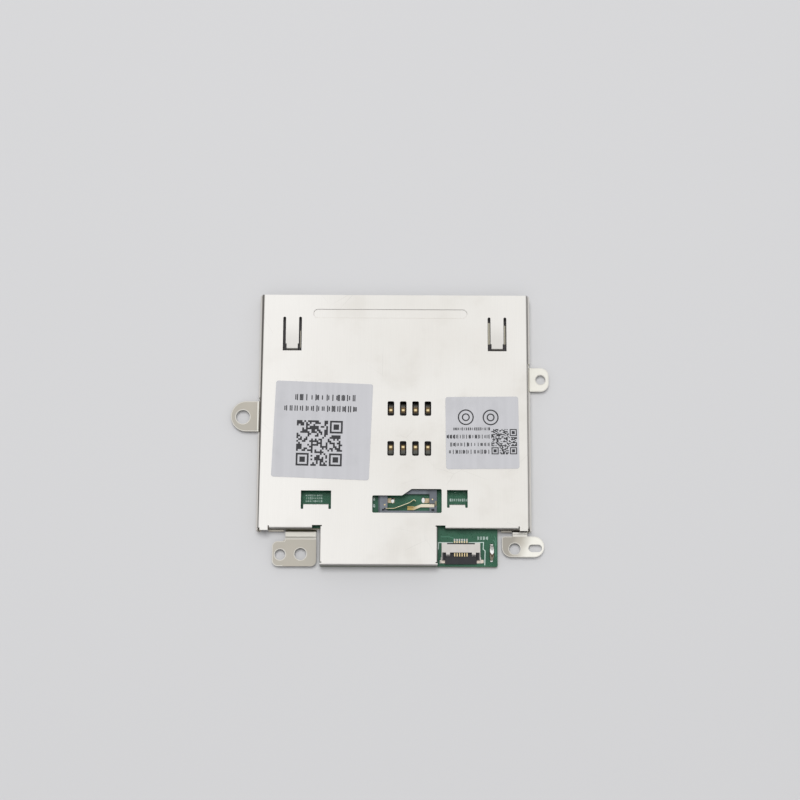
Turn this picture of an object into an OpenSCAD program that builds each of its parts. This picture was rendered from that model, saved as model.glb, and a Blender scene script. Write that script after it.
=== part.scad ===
// Smart card reader board: a folded sheet-metal cover and base frame round a moulded card guide,
// a circuit board, eight contact springs, a card switch and a six-way flat cable connector.
// The card slides in from +Y with its contacts facing down. Millimetres, +Z up, underside at z = 0.

/* [Card] */
// Width of the card that slides in
card_w = 53.98; // [53.5:0.01:54.5]
// Distance between neighbouring contacts in a row
contact_pitch = 2.54; // [2.3:0.01:2.6]
// Distance between the two rows of contacts
row_gap = 7.62; // [7.4:0.01:8]
// Distance from the card's leading edge to the nearer row of contacts
near_row = 11.25; // [10.8:0.05:11.6]
// Distance from the card's middle line to the middle of the contacts
contact_shift = 3.1; // [2.6:0.1:3.4]
// How far the card's edge passes its nominal place before it meets the stops
card_overrun = 0.55; // [0.3:0.05:0.7]
// Play beside the card on each side
card_play = 0.13; // [0.1:0.01:0.2]
// Height of the path that the card slides in
path_h = 1; // [0.95:0.01:1.1]

/* [Top cover] */
// Length of the body, from the card mouth to the rear corners
body_l = 49.2; // [48.8:0.1:50]
// Thickness of the cover sheet
cover_t = 0.2; // [0.15:0.01:0.25]
// Outer radius of the cover's folds
cover_bend_r = 0.4; // [0.35:0.01:0.5]
// Distance from the rear corners forward to the rear folds
rear_inset = 0.4; // [0.2:0.05:0.45]
// Width of the cover's flat rear corners, measured in from the side face
corner_w = 2.05; // [1.8:0.05:2.4]
// Width of the relief slits beside the folds
relief_w = 0.27; // [0.2:0.01:0.35]
// Width of the tongue over the rear of the board
tongue_w = 23.9; // [22:0.1:24.5]
// Sideways place of the tongue's middle
tongue_x = -3.05; // [-3.3:0.05:-2.6]
// Reach of the tongue behind the rear corners
tongue_reach = 7.05; // [6.5:0.05:7.05]
// Width of the notches beside the tongue
notch_w = 1.6; // [1.2:0.1:2]
// Length of the stiffening bead
bead_l = 32; // [24:0.5:34]
// Width of the stiffening bead
bead_w = 1.92; // [1.6:0.02:2.4]
// Depth of the stiffening bead, pressed down into the card path
bead_h = 0.1; // [0.06:0.01:0.14]
// Width of the two spring fingers
finger_w = 2.7; // [2.2:0.1:3]
// Length of the two spring fingers
finger_l = 6.3; // [6:0.1:6.8]
// Width of the slit round a spring finger
slit_w = 0.6; // [0.5:0.05:0.7]
// Distance of the spring fingers from the middle line
finger_x = 21.25; // [20.5:0.05:21.8]
// How far a spring finger dips into the card path
finger_dip = 0.4; // [0.3:0.05:0.5]
// Width of a contact slot
slot_w = 1.37; // [1.2:0.01:1.5]
// Length of a contact slot
slot_l = 3.03; // [2.8:0.01:3.2]
// Distance from the rear corners forward to the card stops
stop_inset = 5.4; // [5.2:0.05:5.8]

/* [Base frame] */
// Thickness of the frame sheet
frame_t = 0.3; // [0.25:0.01:0.35]
// Outer radius of the frame's folds
frame_bend_r = 0.5; // [0.45:0.01:0.6]
// Play between the cover's sides and the frame's walls
frame_play = 0.05; // [0.03:0.01:0.1]
// Height of the ears' undersides above the frame's underside
ear_lift = 1; // [0.8:0.05:1.1]
// Radius of the round left ear
left_ear_r = 3.16; // [2.8:0.02:3.4]
// Radius of the hole in the left ear
left_hole_r = 1.43; // [1.2:0.01:1.6]
// Width of the right ear
right_ear_w = 4.97; // [4.4:0.01:5.4]
// Radius of the hole in the right ear
right_hole_r = 1; // [0.8:0.05:1.2]
// Radius of the outer hole in the rear left ear
rear_hole_a_r = 1.08; // [0.9:0.02:1.2]
// Radius of the inner hole in the rear left ear
rear_hole_b_r = 1.2; // [1:0.02:1.3]
// Radius of the hole in the rear right ear
rear_hole_c_r = 1.15; // [1:0.05:1.3]
// Length of the adjusting slot in the rear right ear
ear_slot_l = 2.79; // [2.2:0.01:3]
// Width of the adjusting slot in the rear right ear
ear_slot_w = 1.55; // [1.2:0.05:1.7]

/* [Circuit board] */
// Thickness of the board
pcb_t = 0.8; // [0.7:0.05:0.9]
// Width of the board inside the body
pcb_w = 48.6; // [48:0.1:49]
// Reach of the board's rear part beyond the tongue's left side
pcb_left_reach = 0.1; // [0:0.02:0.3]
// Reach of the board's rear part beyond the grounding clip
pcb_right_reach = 0.82; // [0.5:0.02:1]
// Reach of the board behind the rear corners
pcb_reach = 7.1; // [7.1:0.05:7.4]
// Reach of the board in front of the far row of contacts
pcb_front_reach = 6.4; // [6.2:0.1:7]

/* [Card guide] */
// Thickness of the guide above the board
guide_t = 1.2; // [1.1:0.05:1.3]
// Thickness of the guide's side rails
rail_t = 0.3; // [0.25:0.01:0.35]
// Height of the guide's side rails
rail_h = 0.7; // [0.5:0.05:0.8]
// Radius of the guide's locating pegs
peg_r = 0.8; // [0.6:0.05:0.9]

/* [Contact springs] */
// Thickness of the contact spring strip
spring_t = 0.15; // [0.12:0.01:0.18]
// Width of a contact spring at its root
spring_root_w = 1.1; // [1:0.05:1.2]
// Width of a contact spring at its tip
spring_tip_w = 0.8; // [0.7:0.05:0.9]
// Distance from a spring's heel to its contact point
spring_l = 4.6; // [4.4:0.05:4.7]
// Height of the contact points above the card path's roof
bump_over = 0.06; // [0:0.01:0.12]

/* [Card switch] */
// Width of the switch housing
switch_w = 11.96; // [11.8:0.02:12.1]
// Depth of the switch housing
switch_d = 4.74; // [4.6:0.02:4.8]
// Height of the switch housing
switch_h = 1.1; // [1:0.05:1.15]
// Thickness of the switch blade
blade_t = 0.1; // [0.08:0.01:0.14]
// Height of the switch blade
blade_h = 1.3; // [1.1:0.05:1.4]

/* [Cable connector] */
// Width of the connector over its metal shell
conn_w = 7.84; // [7.6:0.02:8.2]
// Depth of the connector's shell
conn_d = 1.96; // [1.8:0.02:2.1]
// Height of the connector
conn_h = 1.2; // [1.1:0.05:1.3]
// Distance between the connector's contacts
pin_pitch = 0.5; // [0.45:0.01:0.55]
// Number of the connector's contacts
pin_count = 6; // [5:1:7]

/* [Labels] */
// Side of the large label
large_label = 20; // [18:0.5:20.5]
// Side of the small label
small_label = 15; // [13:0.5:15.5]
// Thickness of both labels
label_t = 0.08; // [0.05:0.01:0.1]

/* [Hidden] */
$fn = 48;

// Small gaps, the depth by which a cut runs past a face, and the lap of a fold on its flat
slip = 0.03;
seat_gap = 0.15;
past = 1;
lap = 0.05;

// Heights, from the frame's underside up
pcb_top = frame_t + pcb_t;
deck_z = pcb_top + guide_t;
roof_z = deck_z + path_h;
cover_z = roof_z + cover_t;
flange_gap = 0.2;
rear_flange_z = pcb_top + 0.5;
wall_z = cover_z - 0.6;
ear_z = ear_lift;
lip_z = ear_lift + frame_t;

// Half widths, from the card out
rail_in = card_w / 2 + card_play;
rail_out = rail_in + rail_t;
cover_out = rail_out + slip + cover_t;
wall_in = cover_out + frame_play;
wall_out = wall_in + frame_t;

// Places across the rear, from the tongue out to both sides
tongue_left = tongue_x - tongue_w / 2;
tongue_right = tongue_x + tongue_w / 2;
pcb_left = tongue_left - pcb_left_reach;
ear_a_x = tongue_left - 0.8;
conn_x = tongue_right + 0.86 + conn_w / 2;
clip_w = 0.8;
clip_x = conn_x + conn_w / 2 + 1.95;
pcb_right = clip_x + clip_w + pcb_right_reach;
ear_b_x = pcb_right + 0.91;

// Places along the body
mouth_y = body_l / 2;
rear_y = -body_l / 2;
rear_face_y = rear_y + rear_inset;
rear_flat_y = rear_face_y + cover_bend_r;
stop_y = rear_y + stop_inset;
near_row_y = stop_y + near_row + card_overrun;
far_row_y = near_row_y + row_gap;
tongue_face_y = rear_y - tongue_reach;
tongue_flat_y = tongue_face_y + cover_bend_r;
frame_rear_y = rear_y - 0.05;
frame_front_y = mouth_y - 0.1;
pcb_front_y = far_row_y + pcb_front_reach;
pcb_inner_rear_y = rear_y + 0.65;
pcb_rear_y = rear_y - pcb_reach;
guide_front_y = mouth_y - 0.4;
guide_rear_y = stop_y + 3.6;
guide_arm_y = rear_y + 1.2;
corner_in = cover_out - corner_w;
contact_count = 4;

// Cover features
notch_depth = 0.25;
corner_nick = 0.5;
bead_y = mouth_y - 3.99;
bead_x = -0.92;
finger_root_y = mouth_y - 4.99;
finger_lean = 0.05;
finger_tip_l = 1.3;
finger_tip_in = 0.2;
finger_end_gap = 0.2;
slot_inner = 1.17;
slot_corner_r = 0.3;
// Stop windows: middle, width, reach in front of the stop and reach of the legs behind it
stop_windows = [[-15.87, 6.16, 2.71, 1.08], [12.93, 4.21, 2.91, 0.73]];
stop_leg_w = 0.52;
switch_window = [
    [-4.4, 1.75, 0.3], [1.67, 1.75, 0.5], [3.6, 3.1, 0.5],
    [9.74, 3.1, 0.3], [9.74, -1.8, 0.3], [-4.4, -1.8, 0.3]
];
latch_ys = [-14, 14];
latch_z = (frame_bend_r + wall_z) / 2 + 0.2;
latch_r = 0.5;
latch_gap = 0.15;

// Frame features
ear_fold_r = frame_bend_r - frame_t;
ear_relief = 0.5;
left_ear_y = -0.8;
left_ear_x = 2.67;
left_hole = [-3.35, -0.93];
right_ear_y = 7.16;
right_ear_x = 4.03;
right_hole = [2.33, 7.15];
rear_neck_a = [ear_a_x - 6.32, ear_a_x - 0.03];
rear_neck_b = [ear_b_x + 2.18, ear_b_x + 5.18];
rear_lip_a = [-wall_in + 2.1, -wall_in + 5.2];
rear_lip_b = [rear_neck_b[0] - 2.3, rear_neck_b[0] - 0.19];
neck_step = 0.15;
neck_step_l = 0.45;
neck_bend_r = 0.3;
// Corners of the rear ears: x, reach behind the rear corners, radius
rear_ear_a = [
    [ear_a_x, 1.6, 0], [ear_a_x, 7.15, 1.1], [ear_a_x - 9, 7.15, 1.2], [ear_a_x - 9, 2.07, 1.1],
    [ear_a_x - 6.32, 2.07, 0.8], [ear_a_x - 6.32, 1.6, 0]
];
rear_ear_b = [
    [ear_b_x, 0.9, 0.5], [ear_b_x + 8.6, 0.9, 2.05],
    [ear_b_x + 8.6, 5.1, 2.05], [ear_b_x, 5.1, 1.85]
];
rear_hole_a = [ear_a_x - 7.35, 4.78];
rear_hole_b = [ear_a_x - 3.2, 4.66];
rear_hole_c = [ear_b_x + 2.61, 3.43];
ear_slot = [ear_b_x + 6.78, 3.3];
test_window = [6, 3.6];
test_windows = [for (x = [-9, 14], y = [near_row_y - 2.6, near_row_y - 11.1]) [x, y]];
peg_x = pcb_w / 2 - 2.8;
peg_rear = [for (x = [-peg_x, peg_x], y = [near_row_y - 6, far_row_y + 4]) [x, y]];
peg_front = [for (x = [-17.4, 17.4]) [x, guide_front_y - 9.2]];
peg_play = 0.1;

// Guide features
runner_edge = 24.6;
runners = [-12.2, 12.2];
runner_w = 1.4;
runner_h = 0.1;
lead_in = 1.2;
lead_drop = 0.5;
pocket_w = spring_root_w + 0.4;
pocket_floor = 0.25;
core = [6, 6];
core_rib = 1.2;
core_skin = 0.8;
core_columns = 7;
core_rows = 2;

// Contact spring path
heel_z = pcb_top + slip + spring_t / 2;
tail_l = 0.9;
tip_l = 0.55;
tip_drop = 0.34;
bump_r = 0.45;
bump_z = roof_z + bump_over - spring_t / 2 + 0.05;

// Card switch places, from the stop line
switch_x = 2.79;
switch_y = stop_y + 0.74;
switch_bar = 0.42;
switch_front_bar = 0.88;
switch_left_w = 1.88;
switch_right_w = 1.5;
pin_hole_d = 1;
blade_root = [switch_x - switch_w / 2 + switch_left_w, stop_y - 0.86];
blade_path = [
    [-0.35, 0, 0], [1.4, 0.04, 0.6], [4.47, 1.19, 0.5], [5.4, 1.85, 0.12], [5.78, 1.5, 0]
];
blade_z = pcb_top + 0.6;
contact_strip_t = 0.12;
contact_strip_z = pcb_top + 0.36;
blade_meet_y = stop_y - 0.3;
meet_x = switch_x + 1.26;
meet_w = 1.3;
// Soldered feet of the switch: width, depth and height
terminal = [1.4, 0.95, 0.14];
terminal_play = 0.02;
// Root of the fixed contact: how far it is held in the housing and reaches out of it
contact_root = [1, 1.6];

// Connector places
conn_back_y = rear_y - 2.35;
conn_shell_t = 0.12;
conn_floor_h = 0.55;
conn_mouth_d = 2.3;
conn_arm_d = 1.48;
conn_body_w = conn_w - 2 * conn_shell_t - 2 * slip;
conn_mouth_w = conn_body_w - 1.1;
// Hold-downs: foot width, foot depth, foot height, wall length and wall height
nail = [1.05, 0.62, 0.12, 1.2, 0.6];
pin_w = 0.2;
pin_t = 0.1;
clip_l = 3.5;
clip_h = 1;
clip_t = 0.12;
clip_tip_w = 0.4;

// Board components: width, depth and height
chip = [5, 5, 0.85];
crystal_can = [3.2, 2.5, 0.7];
// Places behind the rear corners, from the tongue's middle
chip_at = [-2, 3.2];
crystal_at = [4.6, 2.6];
capacitor = [0.5, 1, 0.5];
resistor = [1, 0.5, 0.35];

// Labels: middle and turn in degrees
large_label_at = [-14.77, -4.03, -2.1];
small_label_at = [18.08, -4.42, 0.6];

// Colours
cover_colour = [0.92, 0.91, 0.89];
frame_colour = [0.72, 0.69, 0.64];
guide_colour = [0.1, 0.1, 0.11];
board_colour = [0.16, 0.37, 0.27];
gold_colour = [0.83, 0.68, 0.36];
switch_colour = [0.44, 0.43, 0.49];
shell_colour = [0.8, 0.8, 0.8];
label_colour = [0.8, 0.8, 0.82];
capacitor_colour = [0.6, 0.5, 0.38];

// A point without its radius
function xy(c) = [c.x, c.y];
function unit(v) = v / norm(v);
// Points of the arc that rounds the corner p between its neighbours a and b
function corner_arc(a, p, b, r, steps) = r <= 0 ? [p] : let(
    u = unit(a - p),
    v = unit(b - p),
    half = acos(u * v) / 2,
    centre = p + unit(u + v) * r / sin(half),
    start = p + u * r / tan(half) - centre,
    end = p + v * r / tan(half) - centre,
    from = atan2(start.y, start.x),
    swing = atan2(end.y, end.x) - from,
    turn = swing > 180 ? swing - 360 : swing < -180 ? swing + 360 : swing
) [for (i = [0:steps]) centre + r * [cos(from + turn * i / steps), sin(from + turn * i / steps)]];
// Outline or path whose corners are given as x, y and radius
function rounded(corners, closed = true, steps = 6) = let(n = len(corners)) [
    for (i = [0:n - 1]) each !closed && (i == 0 || i == n - 1) ? [xy(corners[i])] : corner_arc(
        xy(corners[(i + n - 1) % n]), xy(corners[i]), xy(corners[(i + 1) % n]), corners[i].z, steps
    )
];
// Corners of a rectangle about the origin
function block(w, d, r) = [[-w / 2, -d / 2, r], [w / 2, -d / 2, r], [w / 2, d / 2, r], [-w / 2, d / 2, r]];
function left_of(path, i) = let(d = unit(path[i + 1] - path[i])) [-d.y, d.x];
function mitre(path, i) = let(
    a = left_of(path, max(i - 1, 0)),
    b = left_of(path, min(i, len(path) - 2))
) (a + b) / (1 + a * b);
// Outline of a strip of thickness t along a path
function band(path, t) = let(last = len(path) - 1) concat(
    [for (i = [0:last]) path[i] + mitre(path, i) * t / 2],
    [for (i = [last:-1:0]) path[i] - mitre(path, i) * t / 2]
);

// Turns an outline drawn in width and height so that it runs along +X or -Y
module along_x(length) {
    rotate([90, 0, 90]) linear_extrude(length) children();
}
module along_y(length) {
    rotate([90, 0, 0]) linear_extrude(length) children();
}
// Filled outline of a folded channel, closed at one height and open at the other
module channel_fill(half_w, closed_z, open_z, r) {
    way = sign(open_z - closed_z);
    edge_z = closed_z + way * r;
    translate([-half_w, min(edge_z, open_z)]) square([2 * half_w, abs(open_z - edge_z)]);
    translate([-half_w + r, min(edge_z, closed_z)]) square([2 * (half_w - r), r]);
    for (side = [-1, 1]) {
        translate([side * (half_w - r), edge_z]) circle(r);
    }
}
module channel(half_w, closed_z, open_z, r, t) {
    way = sign(open_z - closed_z);
    difference() {
        channel_fill(half_w, closed_z, open_z, r);
        channel_fill(half_w - t, closed_z + way * t, open_z + way * past, r - t);
    }
}
// Outline of a sheet's edge folded down, from the end of its flat
module fold_profile(run, r, t) {
    translate([0, -r]) intersection() {
        difference() {
            circle(r);
            circle(r - t);
        }
        square(r);
    }
    translate([-lap, -t]) square([lap, t]);
    translate([r - t, -run]) square([t, run - r]);
}
// Folded edge that runs along +X and turns down on its -Y side
module fold_down(length, run, r, t) {
    along_x(length) mirror([1, 0]) fold_profile(run, r, t);
}
// Folded edge that runs along +X and turns up on its -Y side
module fold_up(length, run, r, t) {
    along_x(length) mirror([1, 0]) mirror([0, 1]) fold_profile(run, r, t);
}
module plate(corners, low, high) {
    translate([0, 0, low]) linear_extrude(high - low) polygon(rounded(corners));
}
module upright(at, r, low, high) {
    translate([at.x, at.y, low]) cylinder(r = r, h = high - low);
}

// Top cover
module cover_body() {
    difference() {
        translate([0, mouth_y, 0]) along_y(body_l)
            channel(cover_out, cover_z, frame_t + flange_gap, cover_bend_r, cover_t);
        translate([-corner_in, rear_y - past, 0])
            cube([2 * corner_in, rear_flat_y - rear_y + past, cover_z + past]);
        for (side = [-1, 1]) {
            translate([side * cover_out, rear_y, cover_z / 2])
                cube([2 * cover_bend_r, 2 * corner_nick, 2 * cover_z], center = true);
        }
    }
}
module cover_rear() {
    flange_end = corner_in - relief_w;
    left_start = tongue_left - notch_w;
    right_start = tongue_right + notch_w;
    drop = cover_z - rear_flange_z;
    translate([-flange_end, rear_flat_y, cover_z])
        fold_down(left_start + flange_end, drop, cover_bend_r, cover_t);
    translate([right_start, rear_flat_y, cover_z])
        fold_down(flange_end - right_start, drop, cover_bend_r, cover_t);
}
module cover_tongue() {
    flat_w = tongue_w - 2 * cover_bend_r;
    drop = cover_z - pcb_top;
    side_l = rear_flat_y - tongue_flat_y - relief_w;
    translate([tongue_x - flat_w / 2, tongue_flat_y, roof_z])
        cube([flat_w, rear_flat_y - tongue_flat_y, cover_t]);
    translate([tongue_left, tongue_flat_y, cover_z])
        fold_down(tongue_w, drop, cover_bend_r, cover_t);
    translate([tongue_x - flat_w / 2, rear_flat_y, cover_z])
        rotate([0, 0, -90]) fold_down(side_l, drop, cover_bend_r, cover_t);
    translate([tongue_x + flat_w / 2, rear_flat_y - side_l, cover_z])
        rotate([0, 0, 90]) fold_down(side_l, drop, cover_bend_r, cover_t);
}
module rear_notches() {
    flange_end = corner_in - relief_w;
    for (side = [-1, 1]) {
        notch_in = tongue_x + side * (tongue_w / 2 - cover_bend_r);
        notch_out = notch_in + side * (notch_w + cover_bend_r);
        translate([min(notch_in, notch_out), rear_flat_y, roof_z - past])
            cube([abs(notch_out - notch_in), notch_depth, 2 * past + cover_t]);
        translate([side > 0 ? flange_end : -corner_in, rear_flat_y - past, roof_z - past])
            cube([relief_w, past + notch_depth / 2, 2 * past + cover_t]);
    }
}
// Stadium with sloping sides, wide at the top
module bead(top, grow) {
    span = bead_l / 2 - bead_w / 2;
    hull() for (side = [-1, 1]) {
        translate([bead_x + side * span, bead_y, top - bead_h])
            cylinder(r1 = bead_w / 2 - bead_h, r2 = bead_w / 2, h = bead_h, $fn = 32);
        translate([bead_x + side * span, bead_y, top])
            cylinder(r = bead_w / 2, h = grow, $fn = 32);
    }
}
module contact_slots() {
    for (i = [0:contact_count - 1], row = [-1, 1]) {
        row_y = row > 0 ? far_row_y : near_row_y;
        translate([contact_x(i), row_y + row * (slot_l / 2 - slot_inner), 0])
            plate(block(slot_w, slot_l, slot_corner_r), roof_z - past, cover_z + past);
    }
}
function contact_x(i) = contact_shift + (i - (contact_count - 1) / 2) * contact_pitch;
module stop_window_cuts() {
    for (w = stop_windows) {
        fold_y = stop_y - cover_bend_r;
        translate([w[0] - w[1] / 2, fold_y, roof_z - past])
            cube([w[1], stop_y + w[2] - fold_y, 2 * past + cover_t]);
        for (side = [-1, 1]) {
            translate([w[0] + side * (w[1] - stop_leg_w) / 2, fold_y, 0])
                plate(block(stop_leg_w, 2 * (w[3] - cover_bend_r), 0.15), roof_z - past, cover_z + past);
        }
    }
}
// Card stops: tabs of the cover folded down behind their windows
module stop_tabs() {
    for (w = stop_windows) {
        tab_w = w[1] - 2 * stop_leg_w;
        translate([w[0] + tab_w / 2, stop_y - cover_bend_r, cover_z]) rotate([0, 0, 180])
            fold_down(tab_w, cover_z - pcb_top - 0.1, cover_bend_r, cover_t);
    }
}
module finger_cuts() {
    for (side = [-1, 1]) {
        translate([side * finger_x, finger_root_y, 0]) {
            for (leg = [-1, 1]) {
                leg_x = leg * (finger_w + slit_w) / 2;
                upright([leg_x, 0], slit_w / 2, roof_z - past, cover_z + past);
                translate([leg_x - slit_w / 2, -finger_l - slit_w, roof_z - past])
                    cube([slit_w, finger_l + slit_w, 2 * past + cover_t]);
            }
            translate([-finger_w / 2, -finger_l - slit_w, roof_z - past])
                cube([finger_w, finger_l + slit_w, 2 * past + cover_t]);
        }
    }
}
// Spring fingers: almost flat, with a narrower end turned down to press on the card
module fingers() {
    mid_z = roof_z + cover_t / 2;
    end = finger_l + slit_w - finger_end_gap;
    step_y = end - finger_tip_l;
    half = finger_w / 2;
    tip_half = half - finger_tip_in;
    path = rounded([
        [0, mid_z, 0], [-finger_l, mid_z - finger_lean, 0.2], [-end, mid_z - finger_dip, 0]
    ], closed = false);
    for (side = [-1, 1]) {
        translate([side * finger_x, finger_root_y, 0]) intersection() {
            translate([-half, 0, 0]) along_x(finger_w) polygon(band(path, cover_t));
            linear_extrude(cover_z + past) polygon([
                [-half, 0], [half, 0], [half, -step_y], [tip_half, -step_y],
                [tip_half, -end - past], [-tip_half, -end - past], [-tip_half, -step_y], [-half, -step_y]
            ]);
        }
    }
}
module latches() {
    for (side = [-1, 1], y = latch_ys) {
        translate([side * (cover_out - cover_t / 2), y, latch_z]) rotate([0, side * 90, 0])
            cylinder(r1 = latch_r, r2 = latch_r / 2, h = cover_t / 2 + frame_play + frame_t / 2);
    }
}
module top_cover() {
    color(cover_colour) {
        difference() {
            union() {
                cover_body();
                cover_rear();
                cover_tongue();
                bead(roof_z, cover_t / 2);
            }
            rear_notches();
            bead(cover_z, past);
            contact_slots();
            stop_window_cuts();
            finger_cuts();
            translate([0, stop_y, 0]) plate(switch_window, roof_z - past, cover_z + past);
        }
        fingers();
        stop_tabs();
        latches();
    }
}

// Base frame
module frame_tray() {
    floor_end = frame_rear_y + frame_bend_r;
    difference() {
        translate([0, frame_front_y, 0]) along_y(frame_front_y - rear_y)
            channel(wall_out, 0, wall_z, frame_bend_r, frame_t);
        translate([-wall_in + frame_bend_r, rear_y - past, -past])
            cube([2 * (wall_in - frame_bend_r), floor_end - rear_y + past, frame_t + 2 * past]);
        ear_gap(-1, left_ear_y, 2 * left_ear_r);
        ear_gap(1, right_ear_y, right_ear_w);
        for (side = [-1, 1], y = latch_ys) {
            translate([side * wall_out, y, latch_z])
                cube([4 * frame_t, 2 * (latch_r + latch_gap), 2 * (latch_r + latch_gap)], center = true);
        }
    }
}
// Gap in a side wall where an ear leaves it
module ear_gap(side, y, width) {
    translate([side * wall_out, y, wall_z + ear_z - ear_fold_r])
        cube([4 * frame_t, width, 2 * wall_z], center = true);
    for (end = [-1, 1]) {
        translate([side * wall_out, y + end * (width + ear_relief) / 2, wall_z + frame_bend_r])
            cube([4 * frame_t, ear_relief, 2 * wall_z], center = true);
    }
}
// Outward fold at the root of a side ear
module ear_root(side, y, width) {
    translate([0, y + width / 2, 0]) along_y(width) scale([side, 1])
        translate([wall_out + ear_fold_r, ear_z - ear_fold_r]) {
            intersection() {
                difference() {
                    circle(ear_fold_r + frame_t);
                    circle(ear_fold_r);
                }
                translate([-ear_fold_r - frame_t, 0]) square(ear_fold_r + frame_t);
            }
            translate([-ear_fold_r - frame_t, -lap]) square([frame_t, lap]);
            translate([0, ear_fold_r]) square([lap, frame_t]);
        }
}
module side_ears() {
    root_x = wall_out + ear_fold_r;
    end_x = wall_out + left_ear_x;
    ear_root(-1, left_ear_y, 2 * left_ear_r);
    difference() {
        union() {
            upright([-end_x, left_ear_y], left_ear_r, ear_z, lip_z);
            translate([-end_x, left_ear_y - left_ear_r, ear_z])
                cube([end_x - root_x, 2 * left_ear_r, frame_t]);
        }
        translate([-root_x, left_ear_y - left_ear_r - past, ear_z - past])
            cube([left_ear_r, 2 * (left_ear_r + past), frame_t + 2 * past]);
        upright([-wall_out + left_hole.x, left_hole.y], left_hole_r, ear_z - past, lip_z + past);
    }
    ear_root(1, right_ear_y, right_ear_w);
    difference() {
        plate([
            [root_x, right_ear_y - right_ear_w / 2, 0],
            [wall_out + right_ear_x, right_ear_y - right_ear_w / 2, 1.7],
            [wall_out + right_ear_x, right_ear_y + right_ear_w / 2, 1.7],
            [root_x, right_ear_y + right_ear_w / 2, 0]
        ], ear_z, lip_z);
        upright([wall_out + right_hole.x, right_hole.y], right_hole_r, ear_z - past, lip_z + past);
    }
}
// Neck of a rear ear: up from the floor, out at the top, and a small step up to the ear
module ear_neck(span, reach) {
    mid = frame_t / 2;
    wall_mid = frame_rear_y + mid;
    path = rounded([
        [frame_rear_y + frame_bend_r + lap, mid, 0], [wall_mid, mid, frame_bend_r - mid],
        [wall_mid, ear_z - neck_step + mid, neck_bend_r],
        [rear_y - reach + neck_step_l, ear_z - neck_step + mid, neck_bend_r],
        [rear_y - reach, ear_z + mid, neck_bend_r], [rear_y - reach - 0.3, ear_z + mid, 0]
    ], closed = false);
    translate([span[0], 0, 0]) along_x(span[1] - span[0]) polygon(band(path, frame_t));
}
function behind(corners) = [for (c = corners) [c.x, rear_y - c.y, c.z]];
module rear_ears() {
    ear_neck(rear_neck_a, 1.55);
    ear_neck(rear_neck_b, 0.9);
    difference() {
        plate(behind(rear_ear_a), ear_z, lip_z);
        upright([rear_hole_a.x, rear_y - rear_hole_a.y], rear_hole_a_r, ear_z - past, lip_z + past);
        upright([rear_hole_b.x, rear_y - rear_hole_b.y], rear_hole_b_r, ear_z - past, lip_z + past);
    }
    difference() {
        plate(behind(rear_ear_b), ear_z, lip_z);
        upright([rear_hole_c.x, rear_y - rear_hole_c.y], rear_hole_c_r, ear_z - past, lip_z + past);
        for (end = [-1, 1]) {
            upright(
                [ear_slot.x + end * (ear_slot_l - ear_slot_w) / 2, rear_y - ear_slot.y],
                ear_slot_w / 2, ear_z - past, lip_z + past
            );
        }
        translate([ear_slot.x, rear_y - ear_slot.y, ear_z])
            cube([ear_slot_l - ear_slot_w, ear_slot_w, 2 * past], center = true);
    }
}
module rear_lips() {
    for (lip = [rear_lip_a, rear_lip_b]) {
        translate([lip[0], frame_rear_y + frame_bend_r, 0])
            fold_up(lip[1] - lip[0], lip_z, frame_bend_r, frame_t);
    }
}
module base_frame() {
    color(frame_colour) {
        difference() {
            frame_tray();
            for (peg = concat(peg_rear, peg_front)) {
                upright(peg, peg_r + peg_play, -past, frame_t + past);
            }
            for (at = test_windows) {
                translate(at) plate(block(test_window.x, test_window.y, 0.5), -past, frame_t + past);
            }
        }
        side_ears();
        rear_ears();
        rear_lips();
    }
}

// Card guide
module guide_rails() {
    rail_end = guide_front_y - lead_in - 0.2;
    color(guide_colour) for (side = [-1, 1]) scale([side, 1, 1]) {
        translate([0, 0, deck_z]) linear_extrude(rail_h) polygon([
            [rail_out, guide_arm_y], [rail_in, guide_arm_y], [rail_in, rail_end - lead_in],
            [rail_in + rail_t / 2, rail_end], [rail_out, rail_end]
        ]);
    }
}
module spring_pocket(row) {
    // Room for the tail and heel down to the board, then a blind trough under the arm
    open_l = tail_l + 1.6;
    trough_l = spring_l + tip_l + 0.5;
    for (i = [0:contact_count - 1]) {
        translate([contact_x(i), row > 0 ? far_row_y : near_row_y, 0]) scale([1, row, 1]) {
            translate([-pocket_w / 2, spring_l + tail_l + 0.2 - open_l, frame_t])
                cube([pocket_w, open_l, deck_z]);
            translate([-pocket_w / 2, spring_l - trough_l, pcb_top + pocket_floor])
                cube([pocket_w, trough_l, deck_z]);
        }
    }
}
module guide_cores() {
    pitch = [core.x + core_rib, core.y + core_rib];
    for (i = [0:core_columns - 1], j = [0:core_rows - 1]) {
        at = [(i - (core_columns - 1) / 2) * pitch.x, guide_front_y - 2.2 - core.y / 2 - j * pitch.y];
        clear = min([for (peg = peg_front) norm(peg - at)]);
        if (clear > core.x / 2 + peg_r + 0.4 || clear > norm(core) / 2) {
            translate([at.x - core.x / 2, at.y - core.y / 2, frame_t - past])
                cube([core.x, core.y, past + deck_z - core_skin - frame_t]);
        }
    }
}
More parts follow.
